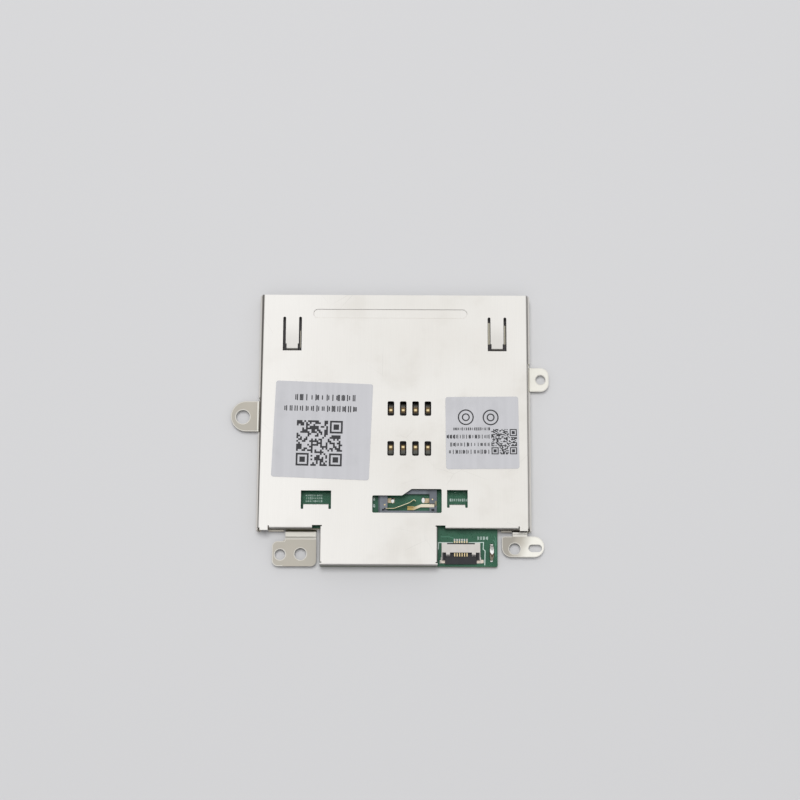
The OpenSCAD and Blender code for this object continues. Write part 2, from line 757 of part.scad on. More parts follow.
module card_guide() {
    board_half = pcb_w / 2 + seat_gap;
    color(guide_colour) {
        difference() {
            translate([0, 0, frame_t]) linear_extrude(deck_z - frame_t) polygon([
                [-rail_out, guide_front_y], [rail_out, guide_front_y], [rail_out, guide_arm_y],
                [board_half, guide_arm_y], [board_half, guide_rear_y], [-board_half, guide_rear_y],
                [-board_half, guide_arm_y], [-rail_out, guide_arm_y]
            ]);
            translate([-board_half, rear_y, frame_t - past])
                cube([2 * board_half, pcb_front_y + seat_gap - rear_y, past + pcb_t]);
            for (x = [-1, 1]) {
                channel_w = runner_edge - runners[1] - runner_w / 2;
                translate([x * (runner_edge - channel_w / 2), 0, deck_z])
                    cube([channel_w, 2 * body_l, 2 * runner_h], center = true);
            }
            translate([0, 0, deck_z])
                cube([2 * runners[1] - runner_w, 2 * body_l, 2 * runner_h], center = true);
            translate([-rail_out - past, 0, 0]) along_x(2 * (rail_out + past)) polygon([
                [guide_front_y - lead_in, deck_z], [guide_front_y + past, deck_z + past],
                [guide_front_y + past, deck_z - lead_drop * 2], [guide_front_y, deck_z - lead_drop]
            ]);
            spring_pocket(1);
            spring_pocket(-1);
            guide_cores();
        }
        for (peg = peg_rear) {
            upright(peg, peg_r, 0.05, pcb_top);
        }
        for (peg = peg_front) {
            upright(peg, peg_r, 0.05, frame_t);
        }
    }
}

// Circuit board
module circuit_board() {
    half = pcb_w / 2;
    color(board_colour) difference() {
        plate([
            [-half, pcb_front_y, 0.5], [-half, pcb_inner_rear_y, 0.5], [pcb_left, pcb_inner_rear_y, 0],
            [pcb_left, pcb_rear_y, 0.3], [pcb_right, pcb_rear_y, 0.3], [pcb_right, pcb_inner_rear_y, 0],
            [half, pcb_inner_rear_y, 0.5], [half, pcb_front_y, 0.5]
        ], frame_t, pcb_top);
        for (peg = peg_rear) {
            upright(peg, peg_r + peg_play, 0, pcb_top + past);
        }
    }
}

// Contact springs, numbered from the left: 1 to 4 in the far row, 5 to 8 in the near row
module contact_spring(number) {
    row = number <= contact_count ? 1 : -1;
    column = (number - 1) % contact_count;
    path = rounded([
        [-tail_l, heel_z, 0], [0, heel_z, 0.3], [spring_l, bump_z, bump_r],
        [spring_l + tip_l, bump_z - tip_drop, 0]
    ], closed = false, steps = 10);
    color(gold_colour)
        translate([contact_x(column), row > 0 ? far_row_y + spring_l : near_row_y - spring_l, 0])
        scale([1, -row, 1]) intersection() {
            translate([-spring_root_w, 0, 0]) along_x(2 * spring_root_w) polygon(band(path, spring_t));
            linear_extrude(2 * cover_z) polygon([
                [-spring_root_w / 2, -tail_l], [spring_root_w / 2, -tail_l], [spring_root_w / 2, 0.6],
                [spring_tip_w / 2, spring_l - 0.6], [spring_tip_w / 2, spring_l + 2 * tip_l],
                [-spring_tip_w / 2, spring_l + 2 * tip_l], [-spring_tip_w / 2, spring_l - 0.6],
                [-spring_root_w / 2, 0.6]
            ]);
        }
}

// Card switch
module switch_housing() {
    low = pcb_top;
    high = pcb_top + switch_h;
    left = switch_x - switch_w / 2;
    right = switch_x + switch_w / 2;
    inner_l = left + switch_left_w;
    inner_r = right - switch_right_w;
    back = switch_y - switch_d / 2;
    front = switch_y + switch_d / 2;
    color(switch_colour) difference() {
        translate([switch_x, switch_y, 0]) plate(block(switch_w, switch_d, 0.15), low, high);
        translate([inner_l, back + switch_bar, low - past])
            cube([inner_r - inner_l, switch_d - switch_bar - switch_front_bar, switch_h + 2 * past]);
        translate([left, switch_y, high]) rotate([0, 45, 0])
            cube([0.5, 2 * switch_d, 0.5], center = true);
        // Slot that holds the blade's root
        translate([blade_root.x - 0.7, blade_root.y - 0.2, blade_z - 0.1]) cube([past, 0.4, switch_h]);
        // Slot that holds the fixed contact's root
        translate([inner_r - 0.1, stop_y - 0.48, contact_strip_z - slip])
            cube([1.3, 0.8, switch_h]);
        for (x = [left + 1.1, right - 0.8]) {
            translate([x, back + 0.55, high]) cube([0.6, 0.45, 2 * pin_hole_d], center = true);
        }
    }
}
module switch_blade() {
    color(gold_colour) translate([blade_root.x, blade_root.y, blade_z])
        linear_extrude(blade_h) polygon(band(rounded(blade_path, closed = false), blade_t));
}
module switch_contact() {
    right = switch_x + switch_w / 2 - switch_right_w;
    z = contact_strip_z;
    color(gold_colour) {
        translate([0, 0, z]) linear_extrude(contact_strip_t) polygon([
            [right + contact_root[0], stop_y + 0.25], [right - contact_root[1], stop_y + 0.25],
            [meet_x + 0.25, blade_meet_y],
            [meet_x - meet_w, blade_meet_y], [meet_x - meet_w, blade_meet_y - 0.7],
            [meet_x + 0.05, blade_meet_y - 0.7], [right - contact_root[1] - 0.2, stop_y - 0.42],
            [right + contact_root[0], stop_y - 0.42]
        ]);
        // Upturned lip that the blade meets
        translate([meet_x - meet_w, blade_meet_y - contact_strip_t, z])
            cube([meet_w, contact_strip_t, blade_z - z + 0.38]);
    }
}
module switch_terminals() {
    inner_l = switch_x - switch_w / 2 + switch_left_w;
    inner_r = switch_x + switch_w / 2 - switch_right_w;
    color(gold_colour) for (side = [-1, 1]) {
        root = side < 0 ? inner_l : inner_r;
        translate([root, stop_y + 0.5, pcb_top]) scale([-side, 1, 1]) {
            translate([terminal_play, 0, 0]) cube(terminal);
            translate([terminal_play, 0.12, 0]) cube([terminal.z, 0.75 * terminal.y, 4 * terminal.z]);
        }
    }
}

// Cable connector
module connector_housing() {
    body_w = conn_body_w;
    body_h = conn_h - conn_shell_t;
    mouth_w = conn_mouth_w;
    slot_z = conn_floor_h - 0.1;
    color(guide_colour) translate([conn_x, conn_back_y, pcb_top]) difference() {
        union() {
            translate([-body_w / 2, -conn_d, 0]) cube([body_w, conn_d, body_h]);
            translate([-body_w / 2, -conn_d - conn_arm_d, 0])
                cube([body_w, conn_arm_d + slip, conn_floor_h]);
            translate([-mouth_w / 2, -conn_d - conn_mouth_d, 0])
                cube([mouth_w, conn_mouth_d + slip, conn_floor_h]);
            for (side = [-1, 1]) {
                translate([side * (body_w / 2 - 0.2), -conn_d - conn_arm_d / 2, body_h / 2])
                    cube([0.4, conn_arm_d, body_h], center = true);
            }
        }
        for (i = [0:pin_count - 1]) {
            translate([(i - (pin_count - 1) / 2) * pin_pitch, 0, 0]) {
                translate([-pin_w / 2 - slip, -conn_d - 1, slot_z])
                    cube([pin_w + 2 * slip, conn_d + 2, 0.35]);
                translate([-pin_w / 2 - slip, -0.45, -past]) cube([pin_w + 2 * slip, 1, past + 0.7]);
            }
        }
        for (side = [-1, 1]) {
            translate([side * (mouth_w / 2 + 0.2), -conn_d - 0.9, conn_floor_h])
                cube([0.5, 0.5, 0.3], center = true);
        }
    }
}
module connector_shell() {
    half = conn_w / 2;
    top = conn_h - conn_shell_t;
    color(shell_colour) translate([conn_x, conn_back_y, pcb_top]) {
        translate([0, 0, top]) linear_extrude(conn_shell_t) difference() {
            translate([-half, -conn_d]) square([conn_w, conn_d]);
            translate([-half + 1.1, -0.28]) square([conn_w - 2.2, past]);
        }
        for (side = [-1, 1]) {
            // Side walls, which reach forward as the two arms
            translate([side * (half - conn_shell_t / 2), -(conn_d + conn_arm_d) / 2, conn_h / 2])
                cube([conn_shell_t, conn_d + conn_arm_d, conn_h], center = true);
            // Small tabs that press on the cable
            translate([side * 2.63 - 0.4, -conn_d + 0.1, 0]) along_x(0.8) polygon(band(rounded([
                [0, top + conn_shell_t / 2, 0], [-0.45, top + conn_shell_t / 2, 0.3],
                [-0.8, top - 0.25, 0]
            ], closed = false), conn_shell_t));
        }
    }
}
module connector_contacts() {
    tail_z = pin_t / 2;
    arm_z = conn_floor_h;
    path = rounded([
        [0.7, tail_z, 0], [0.05, tail_z, 0.08], [-0.25, arm_z, 0.08], [-conn_d - 0.75, arm_z, 0]
    ], closed = false);
    color(gold_colour) for (i = [0:pin_count - 1]) {
        translate([conn_x + (i - (pin_count - 1) / 2) * pin_pitch - pin_w / 2, conn_back_y, pcb_top])
            along_x(pin_w) polygon(band(path, pin_t));
    }
}
module connector_nails() {
    color(shell_colour) for (side = [-1, 1]) {
        translate([conn_x, conn_back_y - conn_d - conn_arm_d - slip, pcb_top]) scale([side, 1, 1]) {
            translate([conn_mouth_w / 2 + slip, -nail[1], 0]) cube([nail[0], nail[1], nail[2]]);
            translate([conn_w / 2 + slip, -nail[1], 0]) cube([nail[2], nail[3], nail[4]]);
        }
    }
}

// Grounding clip: a flat foot folded back over itself into a springy arch, narrowed at both ends
module ground_clip() {
    path = rounded([
        [-clip_l / 2, clip_t / 2, 0], [clip_l / 2, clip_t / 2, 0.28], [clip_l / 2, 0.72 * clip_h, 0.28],
        [0.5, clip_h, 0.8], [-0.6, clip_h, 0.6], [0.15 - clip_l / 2, 0.45 * clip_h, 0]
    ], closed = false);
    half = clip_w / 2;
    tip = clip_tip_w / 2;
    color(shell_colour) translate([clip_x + half, rear_y - 4.2, pcb_top]) intersection() {
        translate([-half, 0, 0]) along_x(clip_w) polygon(band(path, clip_t));
        translate([0, 0, -past]) linear_extrude(2 * past + clip_h) polygon([
            [-tip, -clip_l], [tip, -clip_l], [tip, -clip_l / 2], [half, -clip_w], [half, clip_w],
            [tip, clip_l / 2], [tip, clip_l], [-tip, clip_l], [-tip, clip_l / 2], [-half, clip_w],
            [-half, -clip_w], [-tip, -clip_l / 2]
        ]);
    }
}

// Board components under the tongue
module controller_chip() {
    color(guide_colour) translate([tongue_x + chip_at.x, rear_y - chip_at.y, pcb_top])
        plate(block(chip.x, chip.y, 0.1), 0, chip.z);
}
module crystal() {
    lid = crystal_can - [0.3, 0.3, 0];
    color(shell_colour) translate([tongue_x + crystal_at.x, rear_y - crystal_at.y, pcb_top]) {
        plate(block(crystal_can.x, crystal_can.y, 0.2), 0, 0.4 * crystal_can.z);
        plate(block(lid.x, lid.y, 0.3), 0.4 * crystal_can.z, crystal_can.z);
    }
}
module chips(places, size) {
    for (at = places) {
        translate([tongue_x + at.x, rear_y - at.y, pcb_top + size.z / 2]) cube(size, center = true);
    }
}
module capacitors() {
    row = [for (i = [0:3]) [-9 + i * 1.3, 5.6]];
    pair = [for (i = [0:1]) [3.6 + i * 2, 4.9]];
    color(capacitor_colour) chips(concat(row, pair), capacitor);
}
module resistors() {
    column = [for (i = [0:2]) [-9.6, 1.6 + i * 1.1]];
    color(guide_colour) chips(column, resistor);
}

// Labels
module label(side, at) {
    color(label_colour) translate([at.x, at.y, cover_z]) rotate([0, 0, at.z])
        plate(block(side, side, 0.5), 0, label_t);
}

top_cover();
base_frame();
card_guide();
guide_rails();
circuit_board();
contact_spring(1);  // contact_spring_1
contact_spring(2);  // contact_spring_2
contact_spring(3);  // contact_spring_3
contact_spring(4);  // contact_spring_4
contact_spring(5);  // contact_spring_5
contact_spring(6);  // contact_spring_6
contact_spring(7);  // contact_spring_7
contact_spring(8);  // contact_spring_8
switch_housing();
switch_blade();
switch_contact();
switch_terminals();
connector_housing();
connector_shell();
connector_contacts();
connector_nails();
ground_clip();
controller_chip();
crystal();
capacitors();
resistors();
label(large_label, large_label_at);
label(small_label, small_label_at);
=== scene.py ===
import math
import random

import bmesh
import bpy
from mathutils import Matrix, Vector


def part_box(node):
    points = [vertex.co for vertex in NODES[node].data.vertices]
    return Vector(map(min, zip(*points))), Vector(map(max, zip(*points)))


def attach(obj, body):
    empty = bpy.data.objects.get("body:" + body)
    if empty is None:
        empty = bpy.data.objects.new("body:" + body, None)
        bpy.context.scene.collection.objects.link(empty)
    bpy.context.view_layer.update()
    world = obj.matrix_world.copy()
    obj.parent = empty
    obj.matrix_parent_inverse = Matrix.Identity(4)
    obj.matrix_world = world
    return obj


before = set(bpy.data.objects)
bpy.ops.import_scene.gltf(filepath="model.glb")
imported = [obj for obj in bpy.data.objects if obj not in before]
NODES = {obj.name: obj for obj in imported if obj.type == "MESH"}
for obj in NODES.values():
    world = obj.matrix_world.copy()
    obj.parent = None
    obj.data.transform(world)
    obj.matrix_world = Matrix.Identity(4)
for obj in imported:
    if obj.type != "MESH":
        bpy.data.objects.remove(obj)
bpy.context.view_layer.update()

bl_info = {
    "name": "Smart card reader board",
    "version": (1, 0, 0),
    "blender": (4, 5, 0),
    "location": "3D View > Sidebar > Card reader",
    "description": "Finishes, solder, print and stage for a slim smart card reader module",
    "category": "Object",
}

MM = 0.001
ROOT = "reader"
SEED = 20
BOARD_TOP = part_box("circuit_board")[1].z / MM
LABEL_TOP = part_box("large_label")[1].z / MM
EAR_TOP = 1.3
SPRINGS = ["contact_spring_%d" % number for number in range(1, 9)]
SPRING_PITCH = 2.54
FIRST_SPRING_X = 1.83

# Places on the board, in millimetres
CONNECTOR_X = 13.68
TAIL_PITCH = 0.5
TAIL_COUNT = 6
TAIL_Y = -26.5
TAIL_PAD = (0.3, 0.95)
TAIL_JOINT = (0.3, 0.42)
HOLD_DOWNS = [((10.12, -30.68), (1.42, 0.68)), ((17.6, -30.62), (1.5, 0.72))]
CLIP_ENDS = [((19.95, -27.2), (0.75, 0.5)), ((19.95, -30.55), (0.6, 0.42))]
CLIP_X = 20.02
CLIP_LEAN = -1.2
CLIP_LIGHT_AND_SHADE = [
    # Painted light and shade along the clip's arch: start, end and colour, towards the rear
    (-27.45, -27.6, (0.2, 0.2, 0.18)), (-27.65, -28.0, (0.5, 0.5, 0.48)),
    (-28.4, -28.7, (0.98, 0.98, 0.96)), (-29.2, -29.4, (0.13, 0.1, 0.07)),
    (-29.7, -30.0, (0.42, 0.39, 0.3)),
]
# Painted shade down the sides of the clip's arch
CLIP_EDGE_SHADE = (0.1, 0.1, 0.08)
SWITCH_JOINTS = [((-0.27, -18.22), (0.8, 1.24)), ((6.02, -18.12), (0.82, 1.3))]
SWITCH_PINS = [((-1.87, -19.2), (0.34, 0.34)), ((7.89, -18.07), (0.34, 0.34))]
SWITCH_LUG = ((8.55, -18.91), (0.4, 1.02))
CAPACITOR_ROWS = [(-12.05 + 1.3 * column, -30.2) for column in range(4)] + [(0.55, -29.5), (2.55, -29.5)]
RESISTOR_ROWS = [(-12.65, -26.2 - 1.1 * row) for row in range(3)]
END_REACH = 0.42
CAPACITOR_HEIGHT = 0.52
RESISTOR_HEIGHT = 0.37
BOARD_LINES = [
    [(12.1, -26.8), (9.16, -26.8), (9.12, -28.2)],
    [(15.28, -26.78), (18.34, -26.72), (18.24, -28.1), (18.64, -28.44), (18.56, -31.36)],
    [(10.4, -26.98), (12.2, -26.98)],
]
BOARD_DASHES = [
    # Middle, length, height and number of strokes
    ((-16.4, -17.22), 3.5, 0.42, 9),
    ((-16.4, -17.8), 3.5, 0.42, 8),
    ((-16.4, -18.4), 3.5, 0.42, 9),
    ((13.25, -18.05), 3.75, 0.62, 9),
    ((12.6, -16.5), 0.5, 0.2, 2),
    ((14.4, -16.5), 0.5, 0.2, 2),
    ((18.13, -25.86), 2.4, 0.7, 4),
    ((-4.1, -17.9), 0.5, 0.7, 2),
    ((-4.1, -19.3), 0.5, 0.7, 2),
]
TRACE_WIDTH = 0.14
TRACE_RISE = 0.018
BOARD_TRACES = [
    [(20.25, -26.2), (20.62, -26.55), (20.72, -27.1), (20.7, -28.2), (20.82, -29.6)],
    [(20.55, -25.4), (20.78, -25.9), (20.86, -26.6), (20.86, -27.4)],
    [(9.6, -25.6), (11.4, -25.6), (12.3, -25.9), (12.3, -26.1)],
]

# Holes of the ears: middle and radius, in millimetres
EAR_HOLES = [
    ((-31.35, -0.93), 1.43), ((30.33, 7.15), 1.0), ((-23.15, -29.38), 1.08),
    ((-19.0, -29.26), 1.2), ((24.69, -28.03), 1.15),
]

# Outer edges of the ears, a little way in, where pale lines are laid as painted highlights: x, y and corner
# radius, in millimetres
EAR_EDGES = [
    [(-28.4, 2.26, 0), (-33.73, 2.26, 3.05), (-33.73, -3.86, 3.05), (-28.4, -3.86, 0)],
    [(28.4, 9.54, 0), (31.93, 9.54, 1.6), (31.93, 4.78, 1.6), (28.4, 4.78, 0)],
    [(-22.05, -26.25, 0), (-22.05, -26.77, 0.5), (-24.7, -26.77, 1.0), (-24.7, -31.65, 1.1),
     (-22.6, -31.65, 0)],
    [(24.1, -25.6, 0), (22.18, -25.6, 0.42), (22.18, -29.6, 1.75), (30.58, -29.6, 1.95),
     (30.58, -25.6, 1.95), (27.4, -25.6, 0)],
]

# Painted highlights on the bends of the right rear neck, laid as thin pale strips: both ends, width and
# height, in millimetres
NECK_HIGHLIGHTS = [
    ([(24.28, -24.84), (27.24, -24.84)], 0.43, 1.13),
    ([(24.28, -25.33), (27.24, -25.33)], 0.43, 1.275),
]

# Folds of the cover and the start of its fingers, where painted shade is laid, in millimetres, and the lean
# of its left side
LEFT_FOLD = -27.58
RIGHT_FOLD = 27.4
REAR_FOLD = -23.8
FINGERS_X = 18.5
FINGERS_Y = 10.0
SIDE_LEAN = 0.007

# Places of the frame's painted highlights, in millimetres
LEFT_EAR_BEND = -28.03
RIGHT_EAR_X = 25.2
LEFT_NECK_HIGHLIGHTS = (-25.02, -25.5, -26.0)

# Sheet seen through the slits beside the cover's fingers: middle and size, in millimetres
SLIT_FLOORS = [((19.64, 16.7), (0.4, 4.6)), ((22.92, 16.4), (0.26, 4.0)), ((-19.62, 15.4), (0.12, 3.6))]

# Print on the labels: middle, size in millimetres and number of strokes or modules
LARGE_PATCH = ((-15.35, -6.75), 9.44)
LARGE_LINES = [((-14.28, 2.76), 12.9, 1.3, 12), ((-15.26, 0.46), 15.4, 1.3, 14)]
LARGE_TURN = -1.0
SMALL_PATCH = ((22.55, -6.28), 5.25)
SMALL_LINES = [
    ((15.86, -3.65), 7.65, 0.66, 18), ((15.17, -5.26), 9.0, 0.85, 14),
    ((15.48, -6.89), 8.36, 0.85, 12), ((15.39, -8.41), 8.74, 0.9, 12),
]
SMALL_RINGS = [(14.7, -1.22), (19.8, -1.24)]
SMALL_TURN = 0.4
RING_RADIUS = 1.64
RING_LINE = 0.26
RUBBED_FILM = (0.3, 0.3, 0.31)

# Upright strokes: offsets within a pitch, and shares of the row's height
STROKE_FORMS = ([-0.2, 0.2], [-0.24, 0.0, 0.24], [-0.1, 0.22], [0.0])
STROKE_HEIGHTS = (1.0, 0.85, 0.7)

# Square patch: share of dark squares, and squares along its framed corners
DARK_SHARE = 0.52
FRAMED = 7

# Shares of the gold colour's red, green and blue that are left at the gold strip's dull end
DULL_END_SHARES = (0.55, 0.5, 0.34)

# Stage, in metres and degrees
FLOOR_REACH = 3.0
FLOOR_DROP = 2e-5
LAMP_SIDE = 0.42
LAMP_PLACE = (-0.04, 0.17, 0.95)
SKY_WAY = (-0.1, 0.32, 1.0)
DIM_SKY = (0.09, 0.09, 0.095)
WHITE = (1.0, 1.0, 1.0)
CAMERA_PLACE = (0.00143, -0.05966, 0.3273)
CAMERA_TILT = 10.84
CAMERA_TURN = 0.251


# Settings

def tint(name, description, default):
    return bpy.props.FloatVectorProperty(
        name=name, description=description, default=default, subtype="COLOR", min=0, max=1)


def amount(name, description, default, low, high, **options):
    return bpy.props.FloatProperty(
        name=name, description=description, default=default, min=low, max=high, **options)


class SheetSettings(bpy.types.PropertyGroup):
    cover_colour: tint("Cover colour", "Colour of the folded cover's bare metal", (0.875, 0.857, 0.823))
    # Painted highlight: the colour laid along the cover's left side, standing in for a reflection of light
    # from the upper left
    cover_highlight_colour: tint("Bright colour", "Colour of the cover along its brighter left side",
                        (0.97, 0.95, 0.92))
    frame_colour: tint("Frame colour", "Colour of the base frame's warm plating", (0.5, 0.475, 0.42))
    # Painted highlight: the colour laid where light would glance off the frame's right ears, its left ear's
    # bend and its left neck
    frame_highlight_colour: tint("Polished colour", "Colour of the frame where its plating is rubbed bright",
                          (0.945, 0.93, 0.86))
    sheared_colour: tint("Sheared colour", "Colour of the frame's sheared upper edges", (0.62, 0.6, 0.57))
    # Painted shade: the dark colour laid into the cover's folds, rear flanges and fingers' bent tips
    fold_shade_colour: tint("Fold colour", "Colour of the dull metal in the cover's folds", (0.11, 0.1, 0.09))
    # Painted highlight: the pale colour of the lines along the ears' edges, of their holes' rims and of the
    # strips across the right rear neck
    edge_highlight_colour: tint("Edge colour", "Colour of the ears' rubbed edges and rims", (0.78, 0.76, 0.71))
    inner_colour: tint("Inner colour", "Colour of the sheet seen through the slits", (0.43, 0.405, 0.325))
    stain_colour: tint("Stain colour", "Colour of the metal where hands have dulled it", (0.62, 0.57, 0.49))
    cover_roughness: amount("Cover roughness", "Roughness of the cover's rolled surface",
                            0.4, 0.05, 1, subtype="FACTOR")
    frame_roughness: amount("Frame roughness", "Roughness of the frame's plated surface",
                            0.4, 0.05, 1, subtype="FACTOR")
    hole_rim: amount("Hole rim", "Width of the rolled rim round the ears' holes, in millimetres",
                     0.16, 0.02, 0.4)
    edge_line: amount("Edge line", "Width of the bright line along the ears' edges, in millimetres",
                      0.11, 0.02, 0.3)


class BoardSettings(bpy.types.PropertyGroup):
    mask_colour: tint("Mask colour", "Colour of the solder mask over copper", (0.0155, 0.096, 0.05))
    bare_mask_colour: tint("Mask colour over laminate", "Colour of the solder mask between the copper",
                           (0.0065, 0.053, 0.028))
    trace_colour: tint("Trace colour", "Colour of the solder mask over a raised trace", (0.06, 0.19, 0.12))
    laminate_colour: tint("Laminate colour", "Colour of the board's sawn edge", (0.27, 0.29, 0.14))
    print_colour: tint("Board print colour", "Colour of the white lines on the board", (0.55, 0.66, 0.62))
    line_width: amount("Printed line", "Width of the printed outline, in millimetres", 0.16, 0.05, 0.5)
    print_rise: amount("Print height", "Height of the print above the board, in millimetres",
                       0.015, 0.002, 0.05)


class PlatingSettings(bpy.types.PropertyGroup):
    gold_colour: tint("Gold colour", "Colour of the gold-plated contact strip", (0.84, 0.69, 0.4))
    # Painted shade: the springs' nickel is made this dark to stand in for the shade in the slots
    shaded_strip_colour: tint("Strip colour", "Colour of the springs' nickel below the crest", (0.15, 0.15, 0.135))
    # The arms are brown just below each crest
    below_crest_colour: tint("Rub colour", "Colour of the worn ground round each spring's crest",
                     (0.17, 0.105, 0.045))
    tin_colour: tint("Tin colour", "Colour of the tinned sheet", (0.74, 0.73, 0.71))
    pressed_colour: tint("Pressed sheet colour", "Colour of the connector's pressed cover",
                         (0.66, 0.635, 0.605))
    flux_colour: tint("Flux colour", "Colour of the solder at the hold-downs, under clear flux",
                      (0.78, 0.69, 0.61))
    solder_colour: tint("Solder colour", "Colour of the soldered joints", (0.8, 0.8, 0.8))
    solder_height: amount("Solder height", "Height of the larger soldered joints, in millimetres",
                          0.3, 0.05, 0.6)
    pad_rise: amount("Pad height", "Height of a pad above the board, in millimetres", 0.02, 0.005, 0.05)


class MouldingSettings(bpy.types.PropertyGroup):
    guide_colour: tint("Guide colour", "Colour of the black mouldings", (0.014, 0.014, 0.016))
    # Painted light: the black moulding is lightened to stand in for light reaching the card guide in the
    # slots' shade
    lightened_deck_colour: tint("Deck colour", "Colour of the card guide, paler from the cards' rubbing",
                      (0.05, 0.047, 0.048))
    switch_colour: tint("Switch colour", "Colour of the switch's housing", (0.145, 0.16, 0.185))
    ceramic_colour: tint("Ceramic colour", "Colour of the fired capacitor bodies", (0.42, 0.3, 0.18))


class LabelSettings(bpy.types.PropertyGroup):
    film_colour: tint("Film colour", "Colour of the labels' satin film", (0.51, 0.51, 0.533))
    ink_colour: tint("Ink colour", "Colour of the print on the labels", (0.02, 0.02, 0.023))
    ink_rise: amount("Ink height", "Height of the print above the film, in millimetres", 0.008, 0.002, 0.03)
    modules: bpy.props.IntProperty(
        name="Patch modules", description="Number of squares along one side of the printed patch",
        default=25, min=21, max=41)


class StageSettings(bpy.types.PropertyGroup):
    floor_colour: tint("Floor colour", "Colour of the plain floor", (0.585, 0.585, 0.595))
    sky_strength: amount("Surroundings", "Strength of the surroundings as metal and the camera see them",
                         1.0, 0, 3)
    fill_strength: amount("Fill light", "Strength of the even light that the surroundings shed", 0.62, 0, 3)
    lamp_power: amount("Lamp power", "Power of the soft overhead lamp",
                       6.2, 0, 50, subtype="POWER", unit="POWER")
    view_angle: bpy.props.FloatProperty(
        name="Angle of view", description="Horizontal angle of view of the camera",
        default=math.radians(28.07), subtype="ANGLE", unit="ROTATION")


SETTINGS = {
    "reader_sheet": SheetSettings, "reader_board": BoardSettings, "reader_plating": PlatingSettings,
    "reader_moulding": MouldingSettings, "reader_label": LabelSettings, "reader_stage": StageSettings,
}


# Node helpers

class Recipe:
    """Builds a node tree step by step."""

    def __init__(self, tree):
        self.tree = tree

    def add(self, kind, inputs=(), **options):
        """Add one node, with its options set and its sockets filled or joined."""
        node = self.tree.nodes.new(kind)
        for key, value in options.items():
            setattr(node, key, value)
        for key, value in dict(inputs).items():
            if isinstance(value, bpy.types.NodeSocket):
                self.join(value, node.inputs[key])
            else:
                node.inputs[key].default_value = value
        return node

    def join(self, value, socket):
        self.tree.links.new(value, socket)

    def maths(self, operation, a, b=0.0, clamp=False):
        return self.add("ShaderNodeMath", {0: a, 1: b}, operation=operation, use_clamp=clamp).outputs[0]

    def plus(self, a, b, clamp=False):
        return self.maths("ADD", a, b, clamp)

    def minus(self, a, b):
        return self.maths("SUBTRACT", a, b)

    def times(self, a, b):
        return self.maths("MULTIPLY", a, b)

    def larger(self, a, b):
        return self.maths("MAXIMUM", a, b)

    def above(self, a, b):
        return self.maths("GREATER_THAN", a, b)

    def below(self, a, b):
        return self.maths("LESS_THAN", a, b)

    def absolute(self, a):
        return self.maths("ABSOLUTE", a)

    def vectors(self, operation, a, b, output=0):
        return self.add("ShaderNodeVectorMath", {0: a, 1: b}, operation=operation).outputs[output]

    def axes(self, at):
        return self.add("ShaderNodeSeparateXYZ", {0: at}).outputs

    def spread(self, value, low, high, start=0.0, end=1.0):
        """Map low..high smoothly to start..end."""
        return self.add("ShaderNodeMapRange", {
            "Value": value, "From Min": low, "From Max": high, "To Min": start, "To Max": end},
            interpolation_type="SMOOTHSTEP").outputs["Result"]

    def blend(self, factor, a, b):
        """Mix two colours."""
        return self.add("ShaderNodeMix", {0: factor, 6: a, 7: b}, data_type="RGBA").outputs[2]

    def noise(self, at, scale, detail=2.0, roughness=0.5, output="Fac"):
        return self.add("ShaderNodeTexNoise", {
            "Vector": at, "Scale": scale, "Detail": detail, "Roughness": roughness}).outputs[output]

    def moved(self, at, location=(0, 0, 0), turn=0.0, scale=(1, 1, 1)):
        return self.add("ShaderNodeMapping", {
            "Vector": at, "Location": location, "Rotation": (0, 0, math.radians(turn)),
            "Scale": scale}).outputs["Vector"]


def solid(colour, share=1.0, lift=0.0):
    """A colour for a socket, scaled by its share and lifted if wanted."""
    return (*(min(1.0, share * part + lift) for part in colour), 1.0)


# Shared effects

def start_group(name, values, outputs):
    tree = bpy.data.node_groups.new(name, "ShaderNodeTree")
    tree.interface.new_socket("Vector", in_out="INPUT", socket_type="NodeSocketVector")
    for label, default in values.items():
        socket = tree.interface.new_socket(label, in_out="INPUT", socket_type="NodeSocketFloat")
        socket.default_value = default
    for label in outputs:
        tree.interface.new_socket(label, in_out="OUTPUT", socket_type="NodeSocketFloat")
    given, out = tree.nodes.new("NodeGroupInput").outputs, tree.nodes.new("NodeGroupOutput").inputs
    return Recipe(tree), given, out


def rolled_grain():
    """Fine straight lines that rolling leaves along a sheet."""
    do, given, out = start_group("Rolled grain", {"Lines": 9000.0, "Length": 0.02}, ["Height"])
    along = do.times(given["Lines"], given["Length"])
    size = do.add("ShaderNodeCombineXYZ", {0: given["Lines"], 1: along, 2: given["Lines"]})
    place = do.vectors("MULTIPLY", given["Vector"], size.outputs[0])
    do.join(do.noise(place, 1.0, 3.0, 0.6), out["Height"])
    return do.tree


def handling_marks():
    """Dull smudges from hands and a few thin scratches."""
    do, given, out = start_group("Handling marks", {
        "Smudges": 130.0, "Scratches": 90.0, "Scratch width": 0.006}, ["Smudge", "Scratch"])
    at, count = given["Vector"], given["Scratches"]
    do.join(do.spread(do.noise(at, given["Smudges"], 4.0, 0.62), 0.5, 0.72), out["Smudge"])
    bent = do.noise(at, do.times(count, 0.6), 1.0, output="Color")
    place = do.vectors("ADD", at, do.vectors("MULTIPLY", bent, (0.0035, 0.0035, 0.0035)))
    cells = do.add("ShaderNodeTexVoronoi", {"Vector": place, "Scale": count},
                   feature="DISTANCE_TO_EDGE").outputs["Distance"]
    thin = do.add("ShaderNodeMapRange", {
        "Value": cells, "From Max": given["Scratch width"], "To Min": 1.0, "To Max": 0.0}).outputs["Result"]
    here = do.spread(do.noise(at, count, 1.0), 0.56, 0.64)
    do.join(do.times(thin, here), out["Scratch"])
    return do.tree


